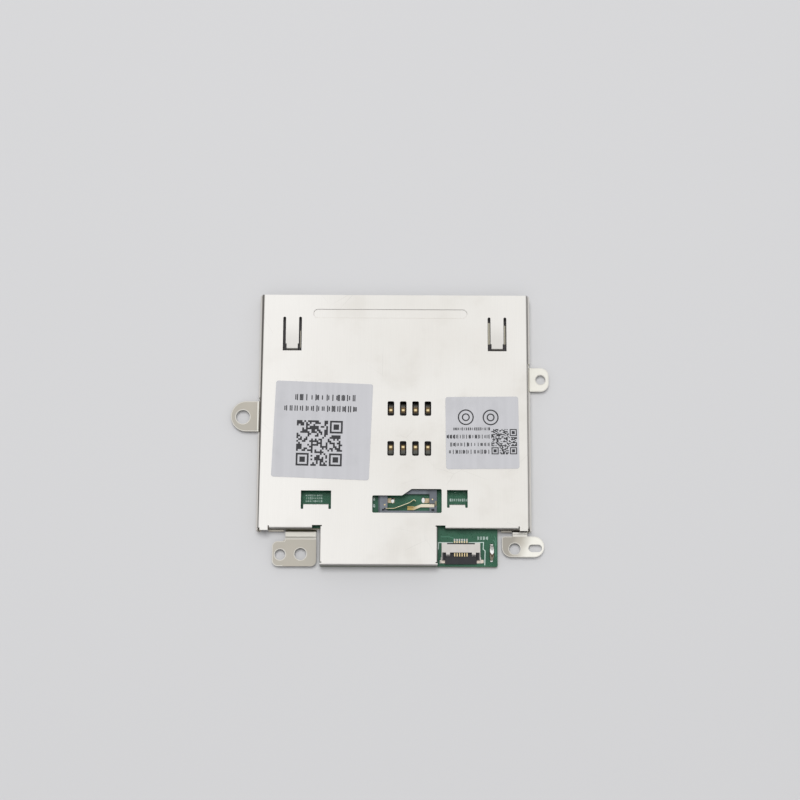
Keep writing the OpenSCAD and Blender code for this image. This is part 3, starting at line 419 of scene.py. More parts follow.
def fine_speckle():
    """Fine grain of a moulded, fired or soldered surface, and its broad cloudiness."""
    do, given, out = start_group("Fine speckle", {"Grain": 9000.0, "Clouds": 400.0}, ["Grain", "Cloud"])
    do.join(do.noise(given["Vector"], given["Grain"], 3.0, 0.6), out["Grain"])
    do.join(do.spread(do.noise(given["Vector"], given["Clouds"], 3.0), 0.35, 0.65), out["Cloud"])
    return do.tree


# Materials

class Finish(Recipe):
    """A material under way, with its shader and the places that its patterns read."""

    def __init__(self, name, roughness, metallic=0.0, specular=0.5):
        self.material = bpy.data.materials.new(name)
        self.material.use_nodes = True
        super().__init__(self.material.node_tree)
        self.shader = self.tree.nodes["Principled BSDF"]
        given = {"Roughness": roughness, "Metallic": metallic, "Specular IOR Level": specular}
        for label, value in given.items():
            self.shader.inputs[label].default_value = value
        place = self.tree.nodes.new("ShaderNodeTexCoord").outputs
        self.at, self.facing = place["Object"], place["Normal"]

    def feed(self, label, value):
        self.join(value, self.shader.inputs[label])

    def bumps(self, *layers):
        """Stack bumps, each a height with its depth in metres, on the shader's normal."""
        below = {}
        for height, depth in layers:
            bump = self.add("ShaderNodeBump", {"Height": height, "Distance": depth, **below})
            below = {"Normal": bump.outputs["Normal"]}
        self.feed("Normal", below["Normal"])

    def effect(self, maker, title, at, **values):
        """Place a shared effect, built the first time that it is asked for."""
        node = self.tree.nodes.new("ShaderNodeGroup")
        node.node_tree = bpy.data.node_groups.get(title) or maker()
        self.join(at, node.inputs["Vector"])
        for key, value in values.items():
            node.inputs[key.replace("_", " ")].default_value = value
        return node.outputs

    def speckle(self, grain=7000.0, clouds=900.0):
        """The fine grain and the broad clouds."""
        return self.effect(fine_speckle, "Fine speckle", self.at, Grain=grain, Clouds=clouds)


def sheet_finish(name, colour, stain, roughness, share=0.3, wave=2.5e-5, shift=(0, 0, 0), places=None):
    """Rolled sheet metal: fine lines, broad waviness, smudges, scratches and changes by place."""
    do = Finish(name, roughness, metallic=1.0)
    at = do.moved(do.at, location=shift)
    grain, = do.effect(rolled_grain, "Rolled grain", at, Lines=9000.0, Length=0.015)
    smudge, scratch = do.effect(handling_marks, "Handling marks", at, Smudges=120.0, Scratches=95.0,
                                Scratch_width=0.005)
    tone = do.spread(do.noise(at, 55.0), 0.35, 0.65)
    dull = do.plus(do.times(tone, share), do.times(smudge, 0.6 * share), clamp=True)
    base = do.blend(dull, solid(colour), solid(stain))
    if places:
        base = places(do, base)
    worn = do.minus(do.spread(grain, 0.3, 0.7, 0.97, 1.0), do.times(scratch, 0.1))
    do.feed("Base Color", do.vectors("MULTIPLY", base, worn))
    do.feed("Roughness", do.plus(do.spread(grain, 0.3, 0.7, roughness - 0.04, roughness + 0.04),
                                 do.times(smudge, 0.08)))
    do.bumps((do.noise(at, 60.0, 1.0), wave), (grain, 1.2e-6), (scratch, -4e-6))
    return do.material


def cover_places(sheet):
    """Where the cover differs: a painted highlight along its left side, and painted shade laid in as a dark
    colour in its side folds, its rear flanges and its fingers' bent tips.
    """
    def change(do, base):
        x, y, z = do.axes(do.at)
        uneven = do.times(do.noise(do.at, 90.0), 0.012)
        # Painted highlight: lighter along the left side, standing in for a reflection of light from the
        # upper left
        bright = do.spread(do.plus(x, uneven), -0.021, 0.004, 0.62, 0.0)
        base = do.blend(bright, base, solid(sheet.cover_highlight_colour))
        # Painted shade in the side folds, the rear flanges and the fingers' bent tips
        left = do.minus(do.plus(do.times(y, SIDE_LEAN), LEFT_FOLD * MM), x)
        right = do.minus(x, RIGHT_FOLD * MM)
        side = do.larger(do.spread(left, -0.0004, -0.0001), do.spread(right, -0.0002, 0.0, 0.0, 0.72))
        side = do.times(side, do.spread(do.larger(left, right), 0.00002, 0.00016, 1.0, 0.1))
        rear = do.times(do.spread(z, 0.00345, 0.0032, 0.0, 0.8), do.below(y, REAR_FOLD * MM))
        tips = do.plus(do.spread(z, 0.00342, 0.00337, 0.0, 0.62), do.spread(z, 0.003495, 0.00346, 0.0, 0.12))
        tips = do.times(tips, do.above(y, FINGERS_Y * MM))
        tips = do.times(tips, do.above(do.absolute(x), FINGERS_X * MM))
        return do.blend(do.larger(side, do.larger(rear, tips)), base, solid(sheet.fold_shade_colour))
    return change


def frame_places(sheet):
    """Where the frame differs: painted highlights on its right ears, along its left ear's bend and across
    its left neck, painted shade over the right rear ear's left part, and pale at its upper edges.
    """
    def change(do, base):
        x, y, z = do.axes(do.at)
        slope = do.plus(x, do.spread(y, -0.03, -0.0255, 0.0, -0.0014))
        slope = do.plus(slope, do.times(do.noise(do.at, 220.0), 0.002))
        # Painted shade: darker over the right rear ear's left part, beside its painted highlight
        worn = do.times(do.spread(slope, 0.0195, 0.0212), do.spread(slope, 0.0238, 0.0252, 0.45, 0.0))
        base = do.blend(worn, base, solid(sheet.frame_colour, 0.55))
        # Painted highlights: on the right front ear and right side, over the right rear ear's right part and
        # along the left ear's bend
        beside = do.times(do.above(x, RIGHT_EAR_X * MM), do.spread(y, -0.0241, -0.0239, 0.0, 0.87))
        shine = do.times(do.spread(slope, 0.025, 0.0285), do.spread(y, -0.0241, -0.0239, 1.0, 0.0))
        bend = do.times(do.below(x, LEFT_EAR_BEND * MM), do.spread(x, -0.02842, -0.02832))
        polished = solid(sheet.frame_highlight_colour)
        base = do.blend(do.larger(do.larger(shine, beside), bend), base, polished)
        # Painted highlights across the left neck
        on_left = do.below(x, 0.0)
        for middle in LEFT_NECK_HIGHLIGHTS:
            reach = do.absolute(do.minus(y, middle * MM))
            base = do.blend(do.times(do.spread(reach, 0.0001, 0.0004, 0.6, 0.0), on_left), base, polished)
        return do.blend(do.spread(z, 0.00282, 0.00286), base, solid(sheet.sheared_colour))
    return change


def board_finish(board):
    """Solder mask over traces and copper fill, with the laminate bare at the sawn edges."""
    do = Finish("Solder mask", 0.32)
    weave = do.noise(do.at, 2600.0)
    runs = do.add("ShaderNodeTexBrick", {
        "Vector": do.moved(do.at, turn=45.0), "Scale": 1.0, "Mortar Size": 0.00007,
        "Mortar Smooth": 0.3, "Brick Width": 0.0042, "Row Height": 0.00036,
        "Color1": solid(WHITE), "Color2": solid(WHITE), "Mortar": solid(WHITE, 0.0)}).outputs["Fac"]
    gap = do.times(runs, do.spread(do.noise(do.at, 170.0, 1.0), 0.5, 0.56))
    cloud = do.spread(do.noise(do.at, 420.0), 0.3, 0.7, 0.0, 0.3)
    bare = do.plus(do.times(gap, 0.55), cloud, clamp=True)
    mask = do.blend(bare, solid(board.mask_colour), solid(board.bare_mask_colour))
    side = do.spread(do.absolute(do.axes(do.facing)["Z"]), 0.5, 0.3)
    fibres = do.spread(do.noise(do.moved(do.at, scale=(900, 900, 9000)), 1.0, 3.0), 0.3, 0.7)
    laminate = do.blend(fibres, solid(board.laminate_colour), solid(board.laminate_colour, 0.6))
    do.feed("Base Color", do.blend(side, mask, laminate))
    do.feed("Roughness", do.plus(do.spread(weave, 0.3, 0.7, 0.26, 0.36), do.times(side, 0.4)))
    do.bumps((gap, -2.5e-5), (weave, 4e-6))
    return do.material


def plated_finish(name, colour, dark, roughness, grain=7000.0, cloud_share=0.25, depth=1.2e-6):
    """Plated strip or solder: metal with a fine grain and slightly uneven tone."""
    do = Finish(name, roughness, metallic=1.0)
    fine, cloud = do.speckle(grain)
    do.feed("Base Color", do.blend(do.times(cloud, cloud_share), solid(colour), solid(dark)))
    do.feed("Roughness", do.spread(fine, 0.3, 0.7, roughness - 0.06, roughness + 0.08))
    do.bumps((fine, depth))
    return do.material


def spring_finish(plating):
    """Nickel-plated strip with gold at its crests, polished by cards; the gold is narrowed to a spot at each
    crest's middle as a painted highlight, the nickel is darkened as painted shade, and the arms are brown
    just below each crest.
    """
    do = Finish("Spring plating", 0.22, metallic=1.0)
    fine, cloud = do.speckle(8000.0)
    x, _, z = do.axes(do.at)
    edge = do.plus(z, do.times(cloud, 2e-5))
    turns = do.maths("DIVIDE", do.minus(x, FIRST_SPRING_X * MM), SPRING_PITCH * MM)
    aside = do.absolute(do.minus(turns, do.maths("ROUND", turns)))
    # Gold at each crest, narrowed to a spot at its middle as a painted highlight
    crest = do.times(do.spread(edge, 0.00329, 0.00334), do.spread(aside, 0.07, 0.12, 1.0, 0.1))
    # Painted shade: the rest of the strip is dark
    strip = do.blend(cloud, solid(plating.shaded_strip_colour), solid(plating.shaded_strip_colour, 0.8))
    strip = do.blend(do.spread(edge, 0.003, 0.00326, 0.0, 0.9), strip, solid(plating.below_crest_colour))
    do.feed("Base Color", do.blend(crest, strip, solid(plating.gold_colour)))
    do.feed("Roughness", do.spread(crest, 0.0, 1.0, 0.3, 0.18))
    do.bumps((fine, 1.5e-6))
    return do.material


def clip_finish(plating):
    """Tinned strip with painted light and shade along its arch: a painted highlight over the crest, painted
    shade on the slopes and down its sides.
    """
    do = Finish("Clip plating", 0.24, metallic=1.0)
    fine, cloud = do.speckle()
    x, y, _ = do.axes(do.at)
    aside = do.absolute(do.minus(x, CLIP_X * MM))
    along = do.plus(y, do.times(aside, CLIP_LEAN))
    base = solid(plating.tin_colour)
    for start, end, colour in CLIP_LIGHT_AND_SHADE:
        tone = do.blend(do.times(cloud, 0.3), solid(colour), solid(colour, 0.7))
        base = do.blend(do.spread(along, start * MM, end * MM), base, tone)
    base = do.blend(do.spread(aside, 0.00034, 0.00044, 0.0, 0.8), base, solid(CLIP_EDGE_SHADE))
    do.feed("Base Color", base)
    do.bumps((fine, 1.2e-6))
    return do.material


def moulded_finish(name, colour, roughness, grain=8000.0, shade=None):
    """Moulded or fired body: fine eroded grain, flow clouds and dust in the grain."""
    do = Finish(name, roughness)
    fine, cloud = do.speckle(grain, 500.0)
    dusty = do.times(do.times(cloud, 0.5), do.spread(fine, 0.35, 0.65, 0.3, 1.0))
    base = do.blend(dusty, solid(colour), solid(colour, 1.5, 0.004))
    # Painted shade: darker beyond the given x, standing in for the shade of grooves that are not drawn
    if shade:
        base = do.blend(do.spread(do.axes(do.at)["X"], *shade), base, solid(colour, 0.3))
    do.feed("Base Color", base)
    do.feed("Roughness", do.spread(fine, 0.3, 0.7, roughness - 0.08, roughness + 0.08))
    do.bumps((fine, 6e-6))
    return do.material


def film_finish(label):
    """Satin label film with faint coating streaks and a few rubs."""
    do = Finish("Label film", 0.42)
    smudge, scratch = do.effect(handling_marks, "Handling marks", do.at, Smudges=160.0, Scratches=150.0,
                                Scratch_width=0.004)
    streak = do.spread(do.noise(do.moved(do.at, scale=(900, 22, 900)), 1.0), 0.3, 0.7)
    base = do.blend(do.times(streak, 0.7), solid(label.film_colour), solid(label.film_colour, 0.93))
    rubs = do.times(do.plus(scratch, smudge), 0.12)
    do.feed("Base Color", do.blend(rubs, base, solid(RUBBED_FILM)))
    fine = do.noise(do.at, 6000.0)
    do.feed("Roughness", do.plus(do.spread(fine, 0.3, 0.7, 0.38, 0.46), do.times(smudge, 0.08)))
    do.bumps((do.noise(do.at, 140.0, 1.0), 2e-5), (fine, 1.5e-6))
    return do.material


def ink_finish(name, colour, roughness, gaps):
    """Printed ink: slightly uneven, and thin enough in places to let the ground through."""
    do = Finish(name, roughness)
    fine, cloud = do.speckle(12000.0, 1500.0)
    worn = do.times(do.spread(fine, 0.55, 0.75), gaps)
    do.feed("Base Color", do.blend(worn, solid(colour), solid(colour, 0.5, 0.06)))
    do.feed("Roughness", do.spread(cloud, 0.0, 1.0, roughness - 0.06, roughness + 0.06))
    do.bumps((fine, 1.5e-6))
    return do.material


def floor_finish(colour):
    """Plain paper with a faint cloudiness."""
    do = Finish("Floor", 0.75, specular=0.2)
    cloud = do.spread(do.noise(do.at, 6.0, 3.0), 0.3, 0.7)
    do.feed("Base Color", do.blend(do.times(cloud, 0.5), solid(colour), solid(colour, 0.985)))
    do.bumps((do.noise(do.at, 2500.0), 4e-6))
    return do.material


def graded_gold(plating):
    """Gold strip, dull and olive towards its left end and paler towards its right."""
    do = Finish("Worn gold", 0.28, metallic=1.0)
    fine, cloud = do.speckle()
    x = do.plus(do.axes(do.at)["X"], do.times(cloud, 3e-4))
    dull = solid([share * part for share, part in zip(DULL_END_SHARES, plating.gold_colour)])
    pale = solid(plating.gold_colour, 0.5, 0.36)
    do.feed("Base Color", do.blend(do.spread(x, 0.0034, 0.0058), dull, pale))
    do.bumps((fine, 1.2e-6))
    return do.material


def kept_plating(name, *values, **options):
    """A plating that more than one piece has, made once."""
    return bpy.data.materials.get(name) or plated_finish(name, *values, **options)


def gold(plating):
    return kept_plating("Gold plating", plating.gold_colour, (0.6, 0.4, 0.15), 0.24)


def tin(plating):
    return kept_plating("Tinned sheet", plating.tin_colour, (0.58, 0.57, 0.55), 0.3)


def solder(plating):
    return kept_plating("Solder", plating.solder_colour, (0.6, 0.59, 0.57), 0.2, grain=3000.0, depth=3e-6)


def dress(finish, *names):
    """Give CAD nodes their finish, in the slots that they already have."""
    for name in names:
        for slot in NODES[name].material_slots:
            slot.material = finish


# Shapes, drawn in millimetres

def stand(name, data):
    """Put a new object into the scene."""
    thing = bpy.data.objects.new(name, data)
    bpy.context.scene.collection.objects.link(thing)
    return thing


def finished(bm, name, finish, angle=32):
    """Bring a shape into the frame as a piece that rides with the reader."""
    bmesh.ops.recalc_face_normals(bm, faces=bm.faces)
    for face in bm.faces:
        face.smooth = True
    for edge in bm.edges:
        edge.smooth = edge.is_manifold and edge.calc_face_angle() < math.radians(angle)
    bmesh.ops.scale(bm, vec=(MM, MM, MM), verts=bm.verts)
    mesh = bpy.data.meshes.new(name)
    bm.to_mesh(mesh)
    bm.free()
    mesh.materials.append(finish)
    piece = stand(name, mesh)
    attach(piece, ROOT)


def repeated(name, slot_name, finish, draw, places, angle=32, **options):
    """One piece made of the same shape, drawn at each of its places."""
    bm = bmesh.new()
    for place in places:
        draw(bm, *place, **options)
    finished(bm, name, finish, angle)


def place_new(bm, known, at, size=(1, 1, 1), turn=0.0):
    """Size, turn and move what was added since the known vertices."""
    fresh = [vert for vert in bm.verts if vert not in known]
    matrix = Matrix.LocRotScale(Vector(at), Matrix.Rotation(math.radians(turn), 3, "Z").to_quaternion(),
                                Vector(size))
    bmesh.ops.transform(bm, matrix=matrix, verts=fresh)


def rounded_edges(bm, edges, offset):
    bmesh.ops.bevel(bm, geom=list(edges), offset=offset, offset_type="OFFSET", affect="EDGES",
                    segments=3, profile=0.5, material=-1)


def raised(bm, faces, rise):
    """Pull flat faces up into a body."""
    grown = bmesh.ops.extrude_face_region(bm, geom=faces)["geom"]
    bmesh.ops.translate(bm, vec=(0, 0, rise),
                        verts=[item for item in grown if isinstance(item, bmesh.types.BMVert)])


def slab(bm, at, size, low, rise, turn=0.0, corner=0.0, soft=0.0):
    """A thin raised patch with rounded corners and, if wanted, a softened upper edge."""
    known = set(bm.verts)
    bmesh.ops.create_cube(bm, size=1.0)
    fresh = [vert for vert in bm.verts if vert not in known]
    bmesh.ops.scale(bm, vec=(size[0], size[1], rise), verts=fresh)
    if corner:
        uprights = {edge for vert in fresh for edge in vert.link_edges
                    if abs(edge.verts[0].co.z - edge.verts[1].co.z) > rise / 2}
        rounded_edges(bm, uprights, corner)
    if soft:
        upper = {edge for vert in bm.verts if vert not in known for edge in vert.link_edges
                 if min(end.co.z for end in edge.verts) > rise / 4}
        rounded_edges(bm, upper, soft)
    place_new(bm, known, (at[0], at[1], low + rise / 2), turn=turn)


def mound(bm, at, size, low, height, turn=0.0):
    """A soldered joint: a flat-topped blob whose lower half is pressed flat on its pad."""
    known = set(bm.verts)
    bmesh.ops.create_uvsphere(bm, u_segments=24, v_segments=14, radius=0.5)
    for vert in bm.verts:
        if vert not in known:
            vert.co.z = math.sqrt(2 * vert.co.z) if vert.co.z > 0 else 0.04 * vert.co.z
    place_new(bm, known, (at[0], at[1], low), (size[0], size[1], height), turn)


def ring(bm, at, radius, profile, steps=40):
    """Turn a small closed outline of offsets from the radius and heights round an upright axis."""
    corners = [bm.verts.new((at[0] + radius + out, at[1], up)) for out, up in profile]
    loop = [bm.edges.new((corners[i - 1], corners[i])) for i in range(len(corners))]
    bmesh.ops.spin(bm, geom=corners + loop, cent=(at[0], at[1], 0), axis=(0, 0, 1),
                   angle=2 * math.pi, steps=steps, use_merge=True)


def across(path, number, width):
    """Half the line's width at one point of a path, along its mitre."""
    into = path[number] - path[number - 1] if number else path[1] - path[0]
    onward = path[number + 1] - path[number] if number + 1 < len(path) else into
    left = Vector((-into.y, into.x, 0)).normalized()
    mitre = (left + Vector((-onward.y, onward.x, 0)).normalized()).normalized()
    return mitre * (width / 2 / max(0.3, mitre.dot(left)))


def rounded_path(corners, steps=8):
    """Points through the corners, each given as x, y and radius, with arcs for the radii."""
    points = []
    for number, (x, y, radius) in enumerate(corners):
        here = Vector((x, y))
        if not radius or number in (0, len(corners) - 1):
            points.append((x, y))
            continue
        back = (Vector(corners[number - 1][:2]) - here).normalized()
        onward = (Vector(corners[number + 1][:2]) - here).normalized()
        half = back.angle(onward) / 2
        centre = here + (back + onward).normalized() * radius / math.sin(half)
        start = here + back * radius / math.tan(half) - centre
        turn = back.angle_signed(-onward)
        for step in range(steps + 1):
            points.append(tuple(centre + Matrix.Rotation(-turn * step / steps, 2) @ start))
    return points


def printed_line(bm, points, width, low, rise):
    """A raised line of even width through the points, with mitred corners."""
    path = [Vector((*point, low)) for point in points]
    half = across(path, 0, width)
    edge = bm.edges.new((bm.verts.new(path[0] + half), bm.verts.new(path[0] - half)))
    faces = []
    for number in range(1, len(path)):
        step = across(path, number, width)
        grown = bmesh.ops.extrude_edge_only(bm, edges=[edge])["geom"]
        edge = next(item for item in grown if isinstance(item, bmesh.types.BMEdge) and not item.is_manifold
                    and all(end in grown for end in item.verts))
        faces += [item for item in grown if isinstance(item, bmesh.types.BMFace)]
        for vert in edge.verts:
            side = 1 if (vert.co - path[number - 1]).dot(half) > 0 else -1
            vert.co = path[number] + side * step
        half = step
    raised(bm, faces, rise)


def stroke_row(bm, at, length, height, count, low, rise, turn, rng, pen=0.17):
    """A row of plain upright strokes that stands where a line of print would be."""
    pitch = length / count
    turned = Matrix.Rotation(math.radians(turn), 2)
    for number in range(count):
        start = -length / 2 + (number + 0.5) * pitch
        for offset in rng.choice(STROKE_FORMS):
            spot = turned @ Vector((start + offset * pitch, 0.0))
            size = (pen * height, height * rng.choice(STROKE_HEIGHTS))
            slab(bm, (at[0] + spot.x, at[1] + spot.y), size, low, rise, turn)


def square_patch(bm, at, side, count, low, rise, turn, rng):
    """A printed patch of small squares in no meaningful order, with three framed corners."""
    known = set(bm.verts)
    made = bmesh.ops.create_grid(bm, x_segments=count, y_segments=count, size=side / 2)
    faces = {face for vert in made["verts"] for face in vert.link_faces}
    dark = [[rng.random() < DARK_SHARE for _ in range(count)] for _ in range(count)]
    far = count - FRAMED
    for left, bottom in ((0, 0), (far, 0), (far, far)):
        for x in range(-1, FRAMED + 1):
            for y in range(-1, FRAMED + 1):
                if 0 <= left + x < count and 0 <= bottom + y < count:
                    reach = max(abs(x - FRAMED // 2), abs(y - FRAMED // 2))
                    dark[left + x][bottom + y] = reach in (0, 1, 3)
    step = side / count
    light = []
    for face in faces:
        middle = face.calc_center_median()
        if not dark[int((middle.x + side / 2) / step)][int((middle.y + side / 2) / step)]:
            light.append(face)
    bmesh.ops.delete(bm, geom=light, context="FACES")
    raised(bm, [face for face in bm.faces if face.verts[0] not in known], rise)
    place_new(bm, known, (at[0], at[1], low), turn=turn)


# Operators

class READER_OT_cover(bpy.types.Operator):
    """Give the folded cover its rolled metal finish"""
    bl_idname = "reader.cover"
    bl_label = "Cover"

    def execute(self, context):
        sheet = context.scene.reader_sheet
        dress(sheet_finish("Cover sheet", sheet.cover_colour, sheet.stain_colour, sheet.cover_roughness,
                           share=0.12, places=cover_places(sheet)), "top_cover")
        return {"FINISHED"}


class READER_OT_base_frame(bpy.types.Operator):
    """Give the base frame its warm plating and roll the rims of its ear holes"""
    bl_idname = "reader.base_frame"
    bl_label = "Base frame"

    def execute(self, context):
        sheet = context.scene.reader_sheet
        dress(sheet_finish("Frame sheet", sheet.frame_colour, sheet.stain_colour, sheet.frame_roughness,
                           share=0.4, wave=1.6e-4, shift=(0.031, 0.012, 0.0),
                           places=frame_places(sheet)), "base_frame")
        # Painted highlights: pale lines along the ears' edges and strips across the right rear neck; the
        # holes' rims are drawn as rolled rims and given this pale colour as a painted highlight
        rubbed = sheet_finish("Rubbed edge", sheet.edge_highlight_colour, sheet.frame_colour, 0.3,
                              shift=(0.01, 0.03, 0.0))
        rim = sheet.hole_rim
        rolled = [(0.0, EAR_TOP - 0.03), (0.2 * rim, EAR_TOP + 0.025), (0.55 * rim, EAR_TOP + 0.03),
                  (rim, EAR_TOP + 0.001), (rim, EAR_TOP - 0.03)]
        repeated("ear_hole_rims", "frame_metal", rubbed, ring, EAR_HOLES, angle=60, profile=rolled)
        paths = [[rounded_path(corners)] for corners in EAR_EDGES]
        repeated("ear_edge_highlights", "frame_metal", rubbed, printed_line, paths, width=sheet.edge_line,
                 low=EAR_TOP, rise=0.012)
        repeated("neck_highlight_strips", "frame_metal", rubbed, printed_line, NECK_HIGHLIGHTS, rise=0.03)
        inner = sheet_finish("Inner sheet", sheet.inner_colour, sheet.frame_colour, 0.2,
                             shift=(0.02, 0.0, 0.0))
        repeated("slit_floors", "frame_metal", inner, slab, SLIT_FLOORS,
                 low=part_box("card_guide")[1].z / MM, rise=0.012, corner=0.05)
        return {"FINISHED"}


class READER_OT_board(bpy.types.Operator):
    """Give the circuit board its solder mask, covered traces and white print"""
    bl_idname = "reader.board"
    bl_label = "Circuit board"

    def execute(self, context):
        board = context.scene.reader_board
        dress(board_finish(board), "circuit_board")
        covered = ink_finish("Covered copper", board.trace_colour, 0.36, 0.6)
        traces = [[points] for points in BOARD_TRACES]
        repeated("board_traces", "board_green", covered, printed_line, traces, width=TRACE_WIDTH,
                 low=BOARD_TOP, rise=TRACE_RISE)
        rng = random.Random(SEED)
        bm = bmesh.new()
        for points in BOARD_LINES:
            printed_line(bm, points, board.line_width, BOARD_TOP, board.print_rise)
        for row in BOARD_DASHES:
            stroke_row(bm, *row, BOARD_TOP, board.print_rise, 0.0, rng, pen=0.12)
        ink = ink_finish("Board print", board.print_colour, 0.5, 0.5)
        finished(bm, "board_print", ink)
        return {"FINISHED"}


class READER_OT_guide(bpy.types.Operator):
    """Give the card guide and its rails their eroded black moulding"""
    bl_idname = "reader.guide"
    bl_label = "Card guide"

    def execute(self, context):
        # Painted light: the guide's black is lightened where the slots leave it in shade
        deck = context.scene.reader_moulding.lightened_deck_colour
        dress(moulded_finish("Rubbed moulding", deck, 0.5), "card_guide", "guide_rails")
        return {"FINISHED"}


class READER_OT_springs(bpy.types.Operator):
    """Give the eight contact springs their nickel, with gold at the crests"""
    bl_idname = "reader.springs"
    bl_label = "Contact springs"

    def execute(self, context):
        dress(spring_finish(context.scene.reader_plating), *SPRINGS)
        return {"FINISHED"}


class READER_OT_switch(bpy.types.Operator):
    """Finish the card switch, solder its terminals and add its pin ends"""
    bl_idname = "reader.switch"
    bl_label = "Card switch"

    def execute(self, context):
        plating = context.scene.reader_plating
        grey = context.scene.reader_moulding.switch_colour
        # The housing is darker on its right as painted shade
        dress(moulded_finish("Grey moulding", grey, 0.45, shade=(0.0064, 0.0072, 0.0, 0.36)),
              "switch_housing")
        dress(plated_finish("Bright gold", (0.95, 0.87, 0.62), (0.5, 0.4, 0.18), 0.2, grain=5000.0,
                            cloud_share=0.6), "switch_blade")
        dress(plated_finish("Dull gold", (0.6, 0.49, 0.33), (0.3, 0.22, 0.12), 0.32, grain=3000.0,
                            cloud_share=0.7), "switch_terminals")
        dress(graded_gold(plating), "switch_contact")
        repeated("switch_solder", "tinned_metal", solder(plating), mound, SWITCH_JOINTS,
                 low=BOARD_TOP, height=0.7 * plating.solder_height)
        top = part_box("switch_housing")[1].z / MM
        repeated("switch_pin_ends", "contact_gold", gold(plating), mound, SWITCH_PINS, low=top, height=0.06)
        tarnished = plated_finish("Tarnished lug", (0.33, 0.3, 0.22), (0.14, 0.12, 0.08), 0.34,
                                  grain=4000.0, cloud_share=0.8)
        repeated("switch_lug", "tinned_metal", tarnished, slab, [SWITCH_LUG],
                 low=top, rise=0.05, corner=0.05)
        return {"FINISHED"}


class READER_OT_connector(bpy.types.Operator):
    """Finish the flat cable connector, and solder its tails and hold-downs"""
    bl_idname = "reader.connector"
    bl_label = "Cable connector"

    def execute(self, context):
        plating = context.scene.reader_plating
        black = context.scene.reader_moulding.guide_colour
        dress(moulded_finish("Black moulding", black, 0.5), "connector_housing")
        dress(plated_finish("Pressed sheet", plating.pressed_colour, (0.58, 0.55, 0.52), 0.36, depth=5e-7),
              "connector_shell", "connector_nails")
        dress(gold(plating), "connector_contacts")
        pads = bmesh.new()
        joints = bmesh.new()
        for number in range(TAIL_COUNT):
            x = CONNECTOR_X + (number - (TAIL_COUNT - 1) / 2) * TAIL_PITCH
            slab(pads, (x, TAIL_Y), TAIL_PAD, BOARD_TOP, plating.pad_rise, corner=0.06)
            mound(joints, (x, TAIL_Y + 0.18), TAIL_JOINT, BOARD_TOP + plating.pad_rise,
                  0.5 * plating.solder_height)
        blobs = bmesh.new()
        for at, size in HOLD_DOWNS:
            slab(pads, at, (size[0] + 0.05, size[1] + 0.04), BOARD_TOP, plating.pad_rise, corner=0.2)
            slab(blobs, at, size, BOARD_TOP, 0.75 * plating.solder_height, corner=0.2, soft=0.08)
        finished(pads, "connector_pads", tin(plating))
        finished(joints, "connector_solder", solder(plating))
        fluxed = plated_finish("Fluxed solder", plating.flux_colour, (0.62, 0.52, 0.42), 0.34,
                               grain=3000.0, depth=2e-6)
        finished(blobs, "hold_down_solder", fluxed)
        return {"FINISHED"}


class READER_OT_components(bpy.types.Operator):
    """Finish the grounding clip and the board's components, with their soldered ends"""
    bl_idname = "reader.components"
    bl_label = "Clip and components"

    def execute(self, context):
        plating = context.scene.reader_plating
        moulding = context.scene.reader_moulding
        dress(clip_finish(plating), "ground_clip")
        dress(tin(plating), "crystal")
        dress(moulded_finish("Black epoxy", moulding.guide_colour, 0.6, grain=14000.0),
              "controller_chip", "resistors")
        dress(moulded_finish("Fired ceramic", moulding.ceramic_colour, 0.35), "capacitors")
        repeated("clip_solder", "tinned_metal", solder(plating), mound, CLIP_ENDS,
                 low=BOARD_TOP, height=0.6 * plating.solder_height)
        bm = bmesh.new()
        for end in (-END_REACH, END_REACH):
            for x, y in CAPACITOR_ROWS:
                slab(bm, (x, y + end), (0.54, 0.24), BOARD_TOP, CAPACITOR_HEIGHT, corner=0.04)
            for x, y in RESISTOR_ROWS:
                slab(bm, (x + end, y), (0.24, 0.54), BOARD_TOP, RESISTOR_HEIGHT, corner=0.04)
        finished(bm, "component_ends", tin(plating))
        return {"FINISHED"}


class READER_OT_labels(bpy.types.Operator):
    """Finish the two labels and lay plain print on them"""
    bl_idname = "reader.labels"
    bl_label = "Labels"

    def execute(self, context):
        label = context.scene.reader_label
        dress(film_finish(label), "large_label", "small_label")
        ink = ink_finish("Label ink", label.ink_colour, 0.5, 0.35)
        rng = random.Random(SEED + 1)
        layers = [
            ("large_label_print", LARGE_PATCH, LARGE_LINES, LARGE_TURN, []),
            ("small_label_print", SMALL_PATCH, SMALL_LINES, SMALL_TURN, SMALL_RINGS),
        ]
        line = [(-RING_LINE, LABEL_TOP), (-RING_LINE, LABEL_TOP + label.ink_rise),
                (0.0, LABEL_TOP + label.ink_rise), (0.0, LABEL_TOP)]
        for name, patch, rows, turn, rings in layers:
            bm = bmesh.new()
            square_patch(bm, *patch, label.modules, LABEL_TOP, label.ink_rise, turn, rng)
            for row in rows:
                stroke_row(bm, *row, LABEL_TOP, label.ink_rise, turn, rng)
            for middle in rings:
                for radius in (RING_RADIUS, 0.5 * RING_RADIUS):
                    ring(bm, middle, radius, line, steps=56)
            finished(bm, name, ink)
        return {"FINISHED"}


